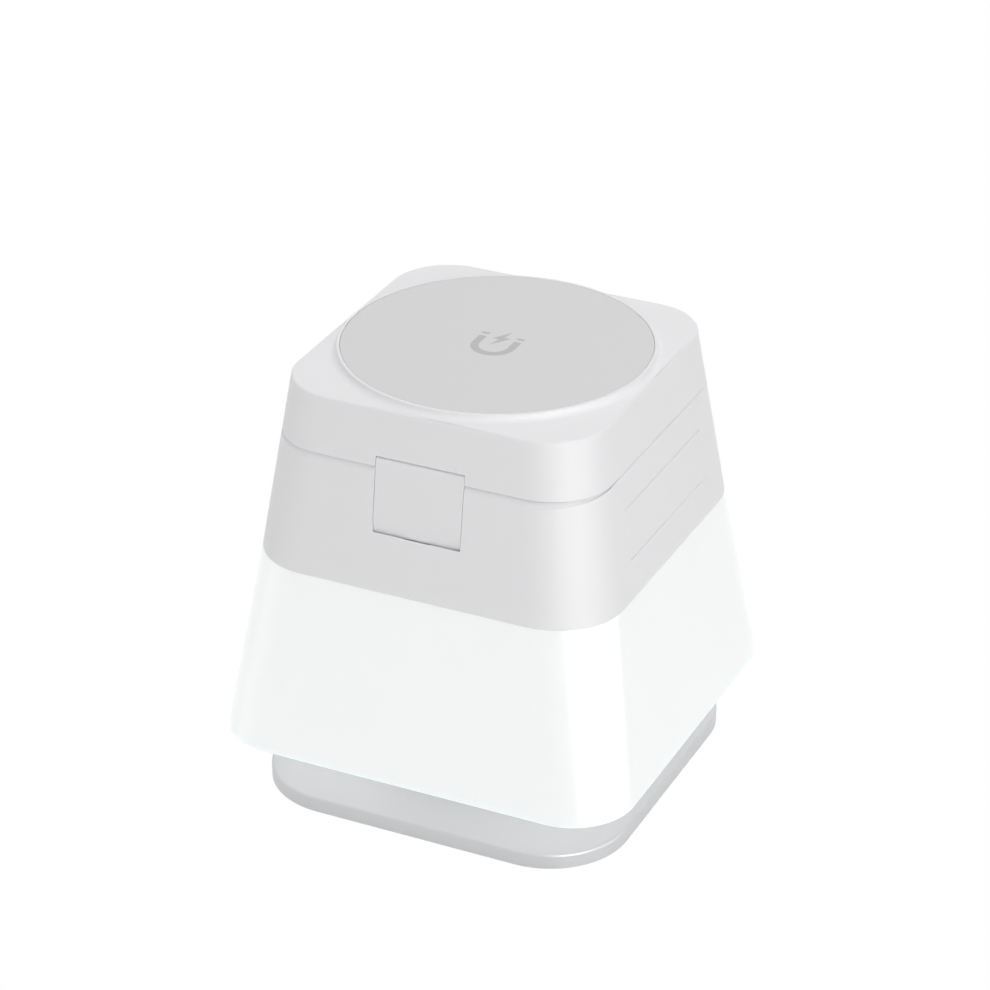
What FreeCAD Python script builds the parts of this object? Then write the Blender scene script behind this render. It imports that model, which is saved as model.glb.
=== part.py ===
import FreeCAD, Part
import math
import os

# Wireless charging station: a tapered square body on a thin foot plate.
# The front is towards -Y, the right side towards +X. All sizes are in millimetres.
# The origin is on the vertical axis, at the surface that the foot pad stands on.

Vector = FreeCAD.Vector

# Heights of the outer form, from the ground up
pad_stand_out = 0.4
base_thickness = 2.8
skirt_clearance = 10.8
shade_height = 37.3
body_height = 23.7
seam_gap = 0.2
lid_height = 10.8
collar_height = 1.4

# Widths of the outer form
lid_top_half = 31.0
side_taper = 0.1455
lid_corner = 11.5
shade_top_corner = 13.2
shade_low_corner = 12.5
base_half = 36.6
base_corner = 15.9
base_edge = 0.5
lid_edge = 0.4
outside = 70.0

# Walls and general fits
shade_wall = 2.2
body_wall = 2.0
lid_wall = 2.0
plate_fit = 0.1
screw_fit = 0.05
pin_fit = 0.02
hinge_fit = 0.05

# Screws: head radius, head height and shank radius
head_radius = 1.8
head_height = 0.9
shank_radius = 1.0
boss_radius = 2.6

# Foot: rubber pad, steel ballast, and the screws that hold the neck
foot_pad_thickness = 1.0
foot_pad_inset = 2.6
ballast_thickness = 1.2
ballast_inset = 6.6
base_screw_circle = 11.0
base_screw_depth = 6.0

# Neck between the foot and the shade
neck_radius = 17.0
neck_wall = 2.2
neck_flange_radius = 22.4
neck_flange_thickness = 2.0
neck_floor = 2.0
neck_screw_circle = 19.8
neck_screw_depth = 4.5

# Shade, its floor plate and the lamp inside
shade_rim = 1.2
shade_floor_thickness = 2.0
shade_ledge = 1.8
shade_ledge_height = 2.0
shade_plate = 2.0
led_board_inset = 7.0
led_board_thickness = 1.2
led_boss_height = 2.0
led_count = 12
led_inset = 5.0
led_width = 3.0
led_height = 0.8
body_screw_depth = 5.0

# Body shell: floor, corner pillars and the bevel of its front rim
body_floor = 2.0
pillar_inset = 5.5
pillar_screw_depth = 8.0
bevel_start = 18.4
bevel_drop = 1.1

# Main board at the back of the body, with the inlet and the light button
board_side_gap = 0.9
board_front_y = -4.0
board_back_gap = 2.95
board_thickness = 1.4
board_post_height = 1.4
board_post_inset = 3.2
board_post_radius = 2.4
connector_inset = 4.0
connector_y = 11.0
connector_length = 6.4
connector_width = 2.6
connector_gap = 0.3
usb_width = 8.9
usb_height = 3.2
usb_depth = 7.4
usb_wall = 0.3
usb_recess = 0.5
usb_gap = 0.25
usb_tongue_width = 6.7
usb_tongue_height = 0.7
usb_tongue_length = 5.2
button_inset = 8.4
button_radius = 3.0
button_gap = 0.25
button_stand_out = 0.6
button_flange = 0.8
button_flange_thickness = 0.9
button_travel = 0.4
switch_width = 6.0
switch_height = 3.6
switch_depth = 3.4
plunger_radius = 1.5
plunger_length = 0.7
plunger_gap = 0.1
chip_size = 6.0
chip_height = 0.9
chip_x = -1.5
inductor_size = 6.4
inductor_height = 2.8
inductor_x = 5.4
capacitor_radius = 2.0
capacitor_height = 5.0
capacitor_inset = 5.0
capacitor_pitch = 5.0
parts_row = 7.0

# Watch drawer in the right face
drawer_side = 7.7
drawer_above_board = 2.5
drawer_below_deck = 4.2
drawer_gap = 0.15
drawer_front = 2.2
puck_back_gap = 9.8
tray_side_gap = 0.3
tray_wall = 1.4
tray_floor = 1.4
tray_rim_drop = 2.0
guide_wall = 1.5
guide_floor = 1.2
guide_gap = 0.2
guide_flange = 1.4
guide_ear = 6.0
guide_ear_reach = 4.6
guide_back_inset = 3.7
guide_front_inset = 15.2
puck_front_gap = 4.0
puck_side_gap = 3.0
puck_sink = 1.2
puck_wall = 1.2
puck_dish = 0.5
watch_coil_gap = 1.3
watch_coil_share = 0.46
watch_coil_thickness = 1.4
watch_magnet_gap = 1.0
watch_magnet_share = 0.55

# Deck under the lid, with the earbud pad and its coil
deck_thickness = 2.4
deck_screw_sink = 1.5
deck_screw_head = 0.8
earbud_pad_side = 5.5
earbud_pad_narrower = 5.0
earbud_pad_corner = 8.0
earbud_pad_thickness = 1.0
earbud_pad_sink = 1.2
earbud_pad_rim = 1.6
earbud_pad_dish = 0.3
earbud_coil_outer = 10.5
earbud_coil_inner = 4.0
earbud_coil_thickness = 1.0
earbud_ferrite_radius = 11.5
earbud_ferrite_thickness = 0.6

# Hinge link in the front face, between the body and the lid
link_half = 8.75
link_side_gap = 0.25
link_top_above_seam = 1.9
link_top_gap = 0.35
link_edge = 0.3
barrel_below_lid = 10.2
barrel_radius = 2.35
barrel_gap = 0.3
knuckle_radius = 1.3
knuckle_gap = 0.3
upper_pin_depth = 1.2
lower_pin_radius = 0.75
upper_pin_radius = 0.5
hinge_ear = 4.5
hinge_wall = 1.6
pocket_slot_half = 2.7
pocket_slot_drop = 0.3
pocket_slot_depth = 2.5
pocket_slot_lip = 0.8

# Lid: charging pad, magnets, coil and board
disc_inset = 2.0
disc_thickness = 1.5
disc_fit = 0.05
disc_edge = 0.2
collar_width = 0.65
collar_foot = 1.15
lid_skin = 1.3
lid_floor_thickness = 2.0
lid_boss_inset = 7.0
lid_head_height = 1.0
lid_screw_depth = 5.0
magnet_inset = 1.6
magnet_width = 4.4
magnet_thickness = 1.6
magnet_count = 16
magnet_gap_degrees = 1.5
yoke_thickness = 0.4
coil_gap = 1.5
coil_inner = 10.5
coil_thickness = 1.2
ferrite_edge = 0.5
ferrite_thickness = 0.8
lid_board_gap = 4.0
lid_board_thickness = 1.2
lid_board_post = 1.4
lid_board_corner = 3.0

# Function symbol on the charging pad: a horseshoe magnet with a bolt
mark_depth = 0.15
mark_half_width = 4.3
mark_leg_width = 1.5
mark_bend_y = -1.5
mark_leg_top_y = 1.5
mark_tip_gap = 0.8
mark_tip_height = 0.8
mark_bolt = ((1.0, 4.9), (-1.5, 1.2), (-0.15, 1.2), (-0.9, -1.6), (1.8, 2.2), (0.45, 2.2))

# Levels that follow from the heights
base_low = pad_stand_out
base_top = base_low + base_thickness
shade_low = base_top + skirt_clearance
shade_top = shade_low + shade_height
body_top = shade_top + body_height
lid_low = body_top + seam_gap
lid_top = lid_low + lid_height
disc_top = lid_top + collar_height
shade_floor_low = shade_low + shade_rim
shade_floor_top = shade_floor_low + shade_floor_thickness
shade_plate_low = shade_top - shade_plate
body_floor_top = shade_top + body_floor
deck_low = body_top - deck_thickness
lid_floor_top = lid_low + lid_floor_thickness
disc_low = disc_top - disc_thickness
lid_skin_low = disc_low - lid_skin
board_low = body_floor_top + board_post_height
board_top = board_low + board_thickness
led_board_top = shade_plate_low - led_boss_height
led_board_low = led_board_top - led_board_thickness
drawer_low = board_top + drawer_above_board
drawer_top = deck_low - drawer_below_deck

# Widths that follow from the outer form
foot_pad_half = base_half - foot_pad_inset
foot_pad_corner = base_corner - foot_pad_inset
ballast_half = base_half - ballast_inset
ballast_corner = base_corner - ballast_inset
led_board_radius = lid_top_half - led_board_inset
led_circle = led_board_radius - led_inset
led_boss_circle = led_board_radius / 2
pillar_place = lid_top_half - pillar_inset
board_half_x = pillar_place - boss_radius - board_side_gap
connector_x = connector_inset - board_half_x
button_x = board_half_x - button_inset
drawer_half = pillar_place - drawer_side
earbud_pad_half_x = pillar_place - earbud_pad_side
earbud_pad_half_y = earbud_pad_half_x - earbud_pad_narrower
lid_boss_place = lid_top_half - lid_boss_inset
lid_board_half = lid_boss_place - lid_board_gap
disc_radius = lid_top_half - disc_inset
magnet_outer = disc_radius - magnet_inset
magnet_inner = magnet_outer - magnet_width
coil_outer = magnet_inner - coil_gap
ferrite_radius = coil_outer + ferrite_edge


def half_at(z):
    """Half the width of the tapered outer form at a height."""
    return lid_top_half + side_taper * (lid_top - z)


def corner_at(z):
    """Corner radius of the tapered outer form at a height."""
    if z >= shade_top:
        share = (lid_top - z) / (lid_top - shade_top)
        return lid_corner + (shade_top_corner - lid_corner) * share
    share = (shade_top - z) / (shade_top - shade_low)
    return shade_top_corner + (shade_low_corner - shade_top_corner) * share


# Places of the hinge parts, which follow the slanted front face
slant = math.atan(side_taper)
link_top = lid_low + link_top_above_seam
barrel_z = lid_low - barrel_below_lid
barrel_y = -(half_at(barrel_z) - barrel_radius / math.cos(slant))
upper_pin_z = link_top - knuckle_radius
upper_pin_y = -(half_at(upper_pin_z) - upper_pin_depth)
notch_half = link_half + link_side_gap
hinge_half = notch_half + hinge_ear

# Back edge of the main board, inside the slanted back wall
board_back_y = half_at(board_top) - body_wall - board_back_gap


def box(x_low, x_high, y_low, y_high, z_low, z_high):
    corner = Vector(x_low, y_low, z_low)
    return Part.makeBox(x_high - x_low, y_high - y_low, z_high - z_low, corner)


def disc(radius, z_low, z_high, x=0.0, y=0.0):
    return Part.makeCylinder(radius, z_high - z_low, Vector(x, y, z_low))


def ring(outer, inner, z_low, z_high):
    return disc(outer, z_low, z_high).cut(disc(inner, z_low, z_high))


def rod_x(radius, half_length, y, z):
    start = Vector(-half_length, y, z)
    return Part.makeCylinder(radius, 2 * half_length, start, Vector(1, 0, 0))


def rod_y(radius, x, z, y_low, y_high):
    start = Vector(x, y_low, z)
    return Part.makeCylinder(radius, y_high - y_low, start, Vector(0, 1, 0))


def capsule_y(width, height, z, y_low, y_high):
    """A bar along Y with a long round-ended section, centred on x = 0."""
    radius = height / 2
    reach = width / 2 - radius
    middle = box(-reach, reach, y_low, y_high, z - radius, z + radius)
    ends = [rod_y(radius, side * reach, z, y_low, y_high) for side in (-1, 1)]
    return middle.multiFuse(ends).removeSplitter()


def rounded_wire(half_x, half_y, corner, z):
    """A rounded rectangle about the axis, at a height."""
    edges = []
    points = []
    for turn, (side_x, side_y) in enumerate(((1, 1), (-1, 1), (-1, -1), (1, -1))):
        centre = Vector(side_x * (half_x - corner), side_y * (half_y - corner), z)
        arc = []
        for step in (0, 45, 90):
            angle = math.radians(90 * turn + step)
            arc.append(centre + Vector(math.cos(angle), math.sin(angle), 0) * corner)
        points.append(arc)
    for index, arc in enumerate(points):
        following = points[(index + 1) % len(points)]
        edges.append(Part.Arc(*arc).toShape())
        edges.append(Part.LineSegment(arc[2], following[0]).toShape())
    return Part.Wire(edges)


def rounded_plate(half_x, half_y, corner, z_low, z_high):
    face = Part.Face(rounded_wire(half_x, half_y, corner, z_low))
    return face.extrude(Vector(0, 0, z_high - z_low))


def tapered(z_low, z_high, inset=0.0):
    """The tapered outer form between two heights, moved in by a wall."""
    sections = []
    for z in (z_low, z_high):
        half = half_at(z) - inset
        sections.append(rounded_wire(half, half, corner_at(z) - inset, z))
    return Part.makeLoft(sections, True, True)


def level_edges(shape, z):
    """The edges that lie flat at a height."""
    found = []
    for edge in shape.Edges:
        bounds = edge.BoundBox
        if abs(bounds.ZMin - z) < 1e-4 and abs(bounds.ZMax - z) < 1e-4:
            found.append(edge)
    return found


def corners(place_x, place_y=None):
    """Four places, one in each quarter."""
    reach = place_x if place_y is None else place_y
    return [(side_x * place_x, side_y * reach) for side_x in (-1, 1) for side_y in (-1, 1)]


def circle_places(radius, count, start_degrees=0.0):
    """Evenly spaced places on a circle about the axis."""
    places = []
    for index in range(count):
        angle = math.radians(start_degrees + 360.0 * index / count)
        places.append((radius * math.cos(angle), radius * math.sin(angle)))
    return places


def fused(shapes):
    return shapes[0].multiFuse(shapes[1:]).removeSplitter()


def screw(x, y, seat_z, length, upwards=True, head=None):
    """A pan-head screw whose head bears on the seat level and whose shank points away from it."""
    height = head_height if head is None else head
    if upwards:
        cap = disc(head_radius, seat_z - height, seat_z, x, y)
        shank = disc(shank_radius, seat_z, seat_z + length, x, y)
    else:
        cap = disc(head_radius, seat_z, seat_z + height, x, y)
        shank = disc(shank_radius, seat_z - length, seat_z, x, y)
    return cap.fuse(shank).removeSplitter()


def holes(places, z_low, z_high, radius=shank_radius + screw_fit):
    return [disc(radius, z_low, z_high, x, y) for x, y in places]


# Places of the screws
base_screw_places = circle_places(base_screw_circle, 4, 45.0)
neck_screw_places = circle_places(neck_screw_circle, 4)
led_screw_places = circle_places(led_boss_circle, 3, 90.0)
pillar_places = corners(pillar_place)
lid_boss_places = corners(lid_boss_place)
board_screw_places = [(side * (board_half_x - board_post_inset), y)
                      for side in (-1, 1)
                      for y in (board_front_y + board_post_inset, board_back_y - board_post_inset)]


# Foot

ballast_low = base_low + foot_pad_thickness - pad_stand_out
ballast_top = ballast_low + ballast_thickness
base_screw_length = base_top - ballast_top + base_screw_depth


def make_foot_pad():
    return rounded_plate(foot_pad_half, foot_pad_half, foot_pad_corner, 0.0, foot_pad_thickness)


def make_ballast_plate():
    plate = rounded_plate(ballast_half, ballast_half, ballast_corner, ballast_low, ballast_top)
    return plate.cut(holes(base_screw_places, ballast_low, ballast_top, head_radius + 2 * plate_fit))


def make_base_plate():
    plate = rounded_plate(base_half, base_half, base_corner, base_low, base_top)
    plate = plate.makeFillet(base_edge, level_edges(plate, base_top))
    pad_half = foot_pad_half + plate_fit
    weight_half = ballast_half + plate_fit
    cuts = [rounded_plate(pad_half, pad_half, foot_pad_corner + plate_fit, 0.0, ballast_low)]
    cuts.append(rounded_plate(weight_half, weight_half, ballast_corner + plate_fit, ballast_low, ballast_top))
    cuts.extend(holes(base_screw_places, ballast_top, base_top))
    return plate.cut(cuts)


def make_base_screws():
    height = ballast_top - ballast_low - plate_fit
    return [screw(x, y, ballast_top, base_screw_length, head=height) for x, y in base_screw_places]


# Neck

neck_top = shade_floor_low
neck_flange_low = neck_top - neck_flange_thickness
neck_screw_length = neck_flange_thickness + neck_screw_depth


def make_neck():
    outer = disc(neck_radius, base_top, neck_top)
    flange = disc(neck_flange_radius, neck_flange_low, neck_top)
    hollow = disc(neck_radius - neck_wall, base_top + neck_floor, neck_top)
    posts = [disc(boss_radius, base_top, base_top + base_screw_depth + neck_wall, x, y)
             for x, y in base_screw_places]
    shape = fused([outer, flange]).cut(hollow)
    shape = fused([shape] + posts)
    cuts = holes(base_screw_places, base_top, base_top + base_screw_depth + screw_fit)
    cuts.extend(holes(neck_screw_places, neck_flange_low, neck_top))
    return shape.cut(cuts)


def make_neck_screws():
    return [screw(x, y, neck_flange_low, neck_screw_length) for x, y in neck_screw_places]


# Shade and lamp

body_screw_length = shade_plate + body_screw_depth
led_screw_length = led_board_thickness + led_boss_height + shade_plate / 2


def make_shade():
    shell = tapered(shade_low, shade_top)
    ledge_top = shade_floor_top + shade_ledge_height
    cuts = [tapered(shade_low, shade_floor_top, shade_wall)]
    cuts.append(tapered(shade_floor_top, ledge_top, shade_wall + shade_ledge))
    cuts.append(tapered(ledge_top, shade_plate_low, shade_wall))
    shell = shell.cut(cuts)
    bosses = [disc(boss_radius, led_board_top, shade_plate_low, x, y) for x, y in led_screw_places]
    shell = fused([shell] + bosses)
    cuts = holes(led_screw_places, led_board_top, led_board_low + led_screw_length + screw_fit)
    cuts.extend(holes(pillar_places, shade_plate_low, shade_top))
    cuts.append(connector_block(connector_gap, shade_plate_low, shade_top))
    return shell.cut(cuts)


def make_shade_floor():
    plate = tapered(shade_floor_low, shade_floor_top, shade_wall + plate_fit)
    boss_top = shade_floor_low + neck_screw_depth + neck_wall
    bosses = [disc(boss_radius, shade_floor_top, boss_top, x, y) for x, y in neck_screw_places]
    plate = fused([plate] + bosses)
    hole_top = shade_floor_low + neck_screw_depth + screw_fit
    return plate.cut(holes(neck_screw_places, shade_floor_low, hole_top))


def make_led_board():
    plate = disc(led_board_radius, led_board_low, led_board_top)
    return plate.cut(holes(led_screw_places, led_board_low, led_board_top))


def make_leds():
    lamps = []
    for index in range(led_count):
        lamp = box(led_circle - led_width / 2, led_circle + led_width / 2, -led_width / 2, led_width / 2,
                   led_board_low - led_height, led_board_low)
        lamp.rotate(Vector(0, 0, 0), Vector(0, 0, 1), 360.0 * (index + 0.5) / led_count)
        lamps.append(lamp)
    return lamps


def make_led_screws():
    return [screw(x, y, led_board_low, led_screw_length) for x, y in led_screw_places]


def connector_block(gap, z_low, z_high):
    reach_x = connector_length / 2 + gap
    reach_y = connector_width / 2 + gap
    return box(connector_x - reach_x, connector_x + reach_x, connector_y - reach_y, connector_y + reach_y,
               z_low, z_high)


def make_led_connector():
    return connector_block(0.0, led_board_top, board_low)


def make_body_screws():
    return [screw(x, y, shade_plate_low, body_screw_length) for x, y in pillar_places]


# Body shell

usb_z = board_top + usb_height / 2
button_z = board_top + switch_height / 2
back_face = half_at(button_z)
usb_mouth = half_at(usb_z) - usb_recess


def front_bevel():
    """The wedge taken off the front of the rim, from nothing at its start to its full drop at the face."""
    slope = bevel_drop / (half_at(body_top) - bevel_start)
    low = body_top - slope * (outside - bevel_start)
    points = [Vector(-outside, -bevel_start, body_top), Vector(-outside, -outside, low)]
    points.append(Vector(-outside, -outside, body_top + outside))
    points.append(Vector(-outside, -bevel_start, body_top + outside))
    face = Part.Face(Part.makePolygon(points + [points[0]]))
    return face.extrude(Vector(2 * outside, 0, 0))


def body_hinge_block(gap=0.0):
    """Walls round the link's pocket, cut flush with the outer form."""
    back = barrel_y + barrel_radius + barrel_gap + hinge_wall
    low = barrel_z - barrel_radius - barrel_gap - hinge_wall
    return box(-hinge_half - gap, hinge_half + gap, -outside, back + gap, low, body_top)


def link_pocket():
    """The room for the link in the body, with the dark slot under its barrel."""
    back = barrel_y + barrel_radius + barrel_gap
    bore = rod_x(barrel_radius + barrel_gap, notch_half, barrel_y, barrel_z)
    above = box(-notch_half, notch_half, -outside, back, barrel_z, body_top)
    lip_rise = math.sqrt((barrel_radius + barrel_gap) ** 2 - barrel_radius ** 2)
    lip_z = barrel_z - lip_rise
    slot = box(-pocket_slot_half, pocket_slot_half, -outside, barrel_y, lip_z - pocket_slot_drop, barrel_z)
    deep = box(-pocket_slot_half, pocket_slot_half, -half_at(lip_z) + pocket_slot_lip, barrel_y,
               lip_z - pocket_slot_depth, barrel_z)
    return fused([bore, above, slot, deep])


def make_body_shell():
    outer = tapered(shade_top, body_top)
    shell = outer.cut(tapered(body_floor_top, body_top, body_wall))
    solids = [shell, body_hinge_block().common(outer)]
    for x, y in pillar_places:
        solids.append(disc(boss_radius, body_floor_top, deck_low, x, y))
    for x, y in board_screw_places:
        solids.append(disc(board_post_radius, body_floor_top, board_low, x, y))
    shell = fused(solids)
    cuts = [link_pocket(), front_bevel()]
    cuts.append(rod_x(lower_pin_radius + pin_fit, hinge_half, barrel_y, barrel_z))
    cuts.append(box(0.0, outside, -drawer_half - drawer_gap, drawer_half + drawer_gap,
                    drawer_low - drawer_gap, drawer_top + drawer_gap))
    cuts.append(capsule_y(usb_width + 2 * usb_gap, usb_height + 2 * usb_gap, usb_z, board_front_y, outside))
    cuts.append(rod_y(button_radius + button_gap, button_x, button_z, board_front_y, outside))
    cuts.append(connector_block(connector_gap, shade_top, body_floor_top))
    cuts.extend(holes(pillar_places, deck_low - pillar_screw_depth, deck_low))
    cuts.extend(holes(pillar_places, shade_top, shade_top + body_screw_depth + screw_fit))
    cuts.extend(holes(board_screw_places, body_floor_top, board_low))
    return shell.cut(cuts)


# Electronics at the back

board_screw_length = board_thickness + board_post_height - screw_fit


def make_main_board():
    plate = box(-board_half_x, board_half_x, board_front_y, board_back_y, board_low, board_top)
    return plate.cut(holes(board_screw_places, board_low, board_top))


def make_board_parts():
    """Coil driver, its inductor and two capacitors, in a row before the inlet."""
    row_y = board_back_y - parts_row
    blocks = []
    for x, size, height in ((chip_x, chip_size, chip_height), (inductor_x, inductor_size, inductor_height)):
        blocks.append(box(x - size / 2, x + size / 2, row_y - size / 2, row_y + size / 2,
                          board_top, board_top + height))
    can_x = capacitor_inset - board_half_x
    cans = [disc(capacitor_radius, board_top, board_top + capacitor_height, x, row_y)
            for x in (can_x, can_x + capacitor_pitch)]
    return blocks + cans


def make_board_screws():
    return [screw(x, y, board_top, board_screw_length, upwards=False) for x, y in board_screw_places]


def make_usb_socket():
    outer = capsule_y(usb_width, usb_height, usb_z, usb_mouth - usb_depth, usb_mouth)
    inner = capsule_y(usb_width - 2 * usb_wall, usb_height - 2 * usb_wall, usb_z,
                      usb_mouth - usb_depth + usb_wall, usb_mouth)
    return outer.cut(inner)


def make_usb_tongue():
    back = usb_mouth - usb_depth + usb_wall
    return box(-usb_tongue_width / 2, usb_tongue_width / 2, back, back + usb_tongue_length,
               usb_z - usb_tongue_height / 2, usb_z + usb_tongue_height / 2)


button_inner_y = half_at(button_z + button_radius) - body_wall - button_travel
button_back_y = button_inner_y - button_flange_thickness
plunger_tip_y = button_back_y - button_travel - plunger_gap


def make_tact_switch():
    back = plunger_tip_y - plunger_length - switch_depth
    case = box(button_x - switch_width / 2, button_x + switch_width / 2, back, back + switch_depth,
               board_top, board_top + switch_height)
    plunger = rod_y(plunger_radius, button_x, button_z, back + switch_depth, plunger_tip_y)
    return case.fuse(plunger).removeSplitter()


def make_light_button():
    cap = rod_y(button_radius, button_x, button_z, button_inner_y, back_face + button_stand_out)
    flange = rod_y(button_radius + button_flange, button_x, button_z, button_back_y, button_inner_y)
    return cap.fuse(flange).removeSplitter()


# Watch drawer

tray_half = drawer_half - tray_side_gap
puck_radius = tray_half - puck_side_gap
puck_x = half_at(drawer_low) - drawer_front - puck_front_gap - puck_radius
tray_back_x = puck_x - puck_radius - puck_back_gap
guide_floor_top = drawer_low - guide_gap
guide_top = drawer_top + guide_gap + guide_flange
guide_front_x = half_at(guide_top) - body_wall - plate_fit
guide_back_x = tray_back_x - guide_gap
guide_screw_x = (guide_back_x - guide_wall + guide_back_inset, guide_front_x - guide_front_inset)
guide_screw_y = drawer_half + guide_wall + guide_ear_reach / 2
guide_screw_places = [(x, side * guide_screw_y) for x in guide_screw_x for side in (-1, 1)]
puck_low = drawer_low + tray_floor
puck_top = drawer_top - puck_sink


def make_drawer_tray():
    height_top = drawer_top - tray_rim_drop
    front = tapered(drawer_low, drawer_top)
    front = front.cut(tapered(drawer_low, drawer_top, drawer_front))
    front = front.common(box(0.0, outside, -drawer_half, drawer_half, drawer_low, drawer_top))
    reach = half_at(drawer_top) - drawer_front / 2
    tray = box(tray_back_x, reach, -tray_half, tray_half, drawer_low, height_top)
    inner_front = half_at(height_top) - drawer_front
    hollow = box(tray_back_x + tray_wall, inner_front - tray_wall, -tray_half + tray_wall,
                 tray_half - tray_wall, puck_low, height_top)
    return fused([front, tray.cut(hollow)])


def make_drawer_guide():
    low = guide_floor_top - guide_floor
    inner = drawer_half
    outer = inner + guide_wall
    block = box(guide_back_x - guide_wall, guide_front_x, -outer, outer, low, guide_top)
    channel = box(guide_back_x, guide_front_x, -inner, inner, guide_floor_top, guide_top)
    ears = []
    for x, y in guide_screw_places:
        tip = outer + guide_ear_reach
        y_low, y_high = sorted((math.copysign(inner, y), math.copysign(tip, y)))
        ears.append(box(x - guide_ear / 2, x + guide_ear / 2, y_low, y_high,
                        guide_top - guide_flange, guide_top))
    guide = fused([block.cut(channel)] + ears)
    return guide.cut(holes(guide_screw_places, guide_top - guide_flange, guide_top))


guide_screw_length = guide_flange + deck_low - guide_top


def make_guide_screws():
    return [screw(x, y, guide_top - guide_flange, guide_screw_length) for x, y in guide_screw_places]


def make_watch_puck():
    """Cup that opens downwards, with a shallow dish in its top."""
    outer = disc(puck_radius, puck_low, puck_top, puck_x)
    hollow = disc(puck_radius - puck_wall, puck_low, puck_top - puck_wall - puck_dish, puck_x)
    sphere_radius = ((puck_radius - puck_wall) ** 2 + puck_dish ** 2) / (2 * puck_dish)
    dish = Part.makeSphere(sphere_radius, Vector(puck_x, 0, puck_top - puck_dish + sphere_radius))
    return outer.cut([hollow, dish])


puck_inside_top = puck_top - puck_wall - puck_dish
watch_coil_outer = puck_radius - puck_wall - watch_coil_gap
watch_coil_inner = watch_coil_outer * watch_coil_share
watch_magnet_radius = watch_coil_inner - watch_magnet_gap
watch_magnet_low = puck_inside_top - (puck_inside_top - puck_low) * watch_magnet_share


def make_watch_coil():
    coil = disc(watch_coil_outer, puck_inside_top - watch_coil_thickness, puck_inside_top, puck_x)
    return coil.cut(disc(watch_coil_inner, puck_inside_top - watch_coil_thickness, puck_inside_top, puck_x))


def make_watch_magnet():
    return disc(watch_magnet_radius, watch_magnet_low, puck_inside_top, puck_x)


# Deck

pad_floor = body_top - earbud_pad_sink
pad_top = pad_floor + earbud_pad_thickness
deck_head_seat = body_top - deck_screw_sink
deck_screw_length = deck_head_seat - deck_low + pillar_screw_depth - screw_fit


def make_top_deck():
    plate = tapered(deck_low, body_top, body_wall + plate_fit)
    bosses = [disc(boss_radius, guide_top, deck_low, x, y) for x, y in guide_screw_places]
    plate = fused([plate] + bosses)
    cuts = [body_hinge_block(plate_fit), front_bevel()]
    cuts.append(rounded_plate(earbud_pad_half_x + plate_fit, earbud_pad_half_y + plate_fit,
                              earbud_pad_corner + plate_fit, pad_floor, body_top))
    cuts.extend(holes(guide_screw_places, guide_top, deck_low))
    cuts.extend(holes(pillar_places, deck_low, deck_head_seat))
    cuts.extend(holes(pillar_places, deck_head_seat, body_top, head_radius + plate_fit))
    return plate.cut(cuts)


def make_deck_screws():
    return [screw(x, y, deck_head_seat, deck_screw_length, upwards=False, head=deck_screw_head)
            for x, y in pillar_places]


def make_earbud_pad():
    pad = rounded_plate(earbud_pad_half_x, earbud_pad_half_y, earbud_pad_corner, pad_floor, pad_top)
    dish = rounded_plate(earbud_pad_half_x - earbud_pad_rim, earbud_pad_half_y - earbud_pad_rim,
                         earbud_pad_corner - earbud_pad_rim, pad_top - earbud_pad_dish, pad_top)
    return pad.cut(dish)


def make_earbud_coil():
    return ring(earbud_coil_outer, earbud_coil_inner, deck_low - earbud_coil_thickness, deck_low)


def make_earbud_ferrite():
    top = deck_low - earbud_coil_thickness
    return disc(earbud_ferrite_radius, top - earbud_ferrite_thickness, top)


# Hinge

def make_hinge_link():
    """A bar whose front face is flush with the body, with a barrel below and a small knuckle above."""
    face_normal = Vector(0, -math.cos(slant), math.sin(slant))
    barrel = Vector(-link_half, barrel_y, barrel_z)
    knuckle = Vector(-link_half, upper_pin_y, upper_pin_z)
    edge_top = Vector(-link_half, -half_at(link_top) + link_edge, link_top)
    face_top = Vector(-link_half, -half_at(link_top - link_edge), link_top - link_edge)
    face_foot = barrel + face_normal * barrel_radius
    barrel_low = barrel + Vector(0, 0, -barrel_radius)
    barrel_back = barrel + Vector(0, barrel_radius, 0)
    knuckle_back = knuckle + Vector(0, knuckle_radius, 0)
    knuckle_top = knuckle + Vector(0, 0, knuckle_radius)
    diagonal = knuckle_radius / math.sqrt(2)
    knuckle_middle = knuckle + Vector(0, diagonal, diagonal)
    edges = [Part.LineSegment(face_top, face_foot).toShape()]
    edges.append(Part.Arc(face_foot, barrel_low, barrel_back).toShape())
    edges.append(Part.LineSegment(barrel_back, knuckle_back).toShape())
    edges.append(Part.Arc(knuckle_back, knuckle_middle, knuckle_top).toShape())
    edges.append(Part.LineSegment(knuckle_top, edge_top).toShape())
    edges.append(Part.LineSegment(edge_top, face_top).toShape())
    link = Part.Face(Part.Wire(edges)).extrude(Vector(2 * link_half, 0, 0))
    cuts = [rod_x(lower_pin_radius + hinge_fit, link_half, barrel_y, barrel_z)]
    cuts.append(rod_x(upper_pin_radius + hinge_fit, link_half, upper_pin_y, upper_pin_z))
    return link.cut(cuts)


def make_lower_pin():
    return rod_x(lower_pin_radius, hinge_half, barrel_y, barrel_z)


def make_upper_pin():
    return rod_x(upper_pin_radius, hinge_half, upper_pin_y, upper_pin_z)


# Lid

collar_radius = disc_radius + collar_width
yoke_low = lid_skin_low - magnet_thickness - yoke_thickness
lid_board_low = lid_floor_top + lid_board_post
lid_board_top = lid_board_low + lid_board_thickness
lid_head_seat = lid_low + lid_head_height
lid_board_post_place = lid_board_half - lid_board_corner


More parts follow.
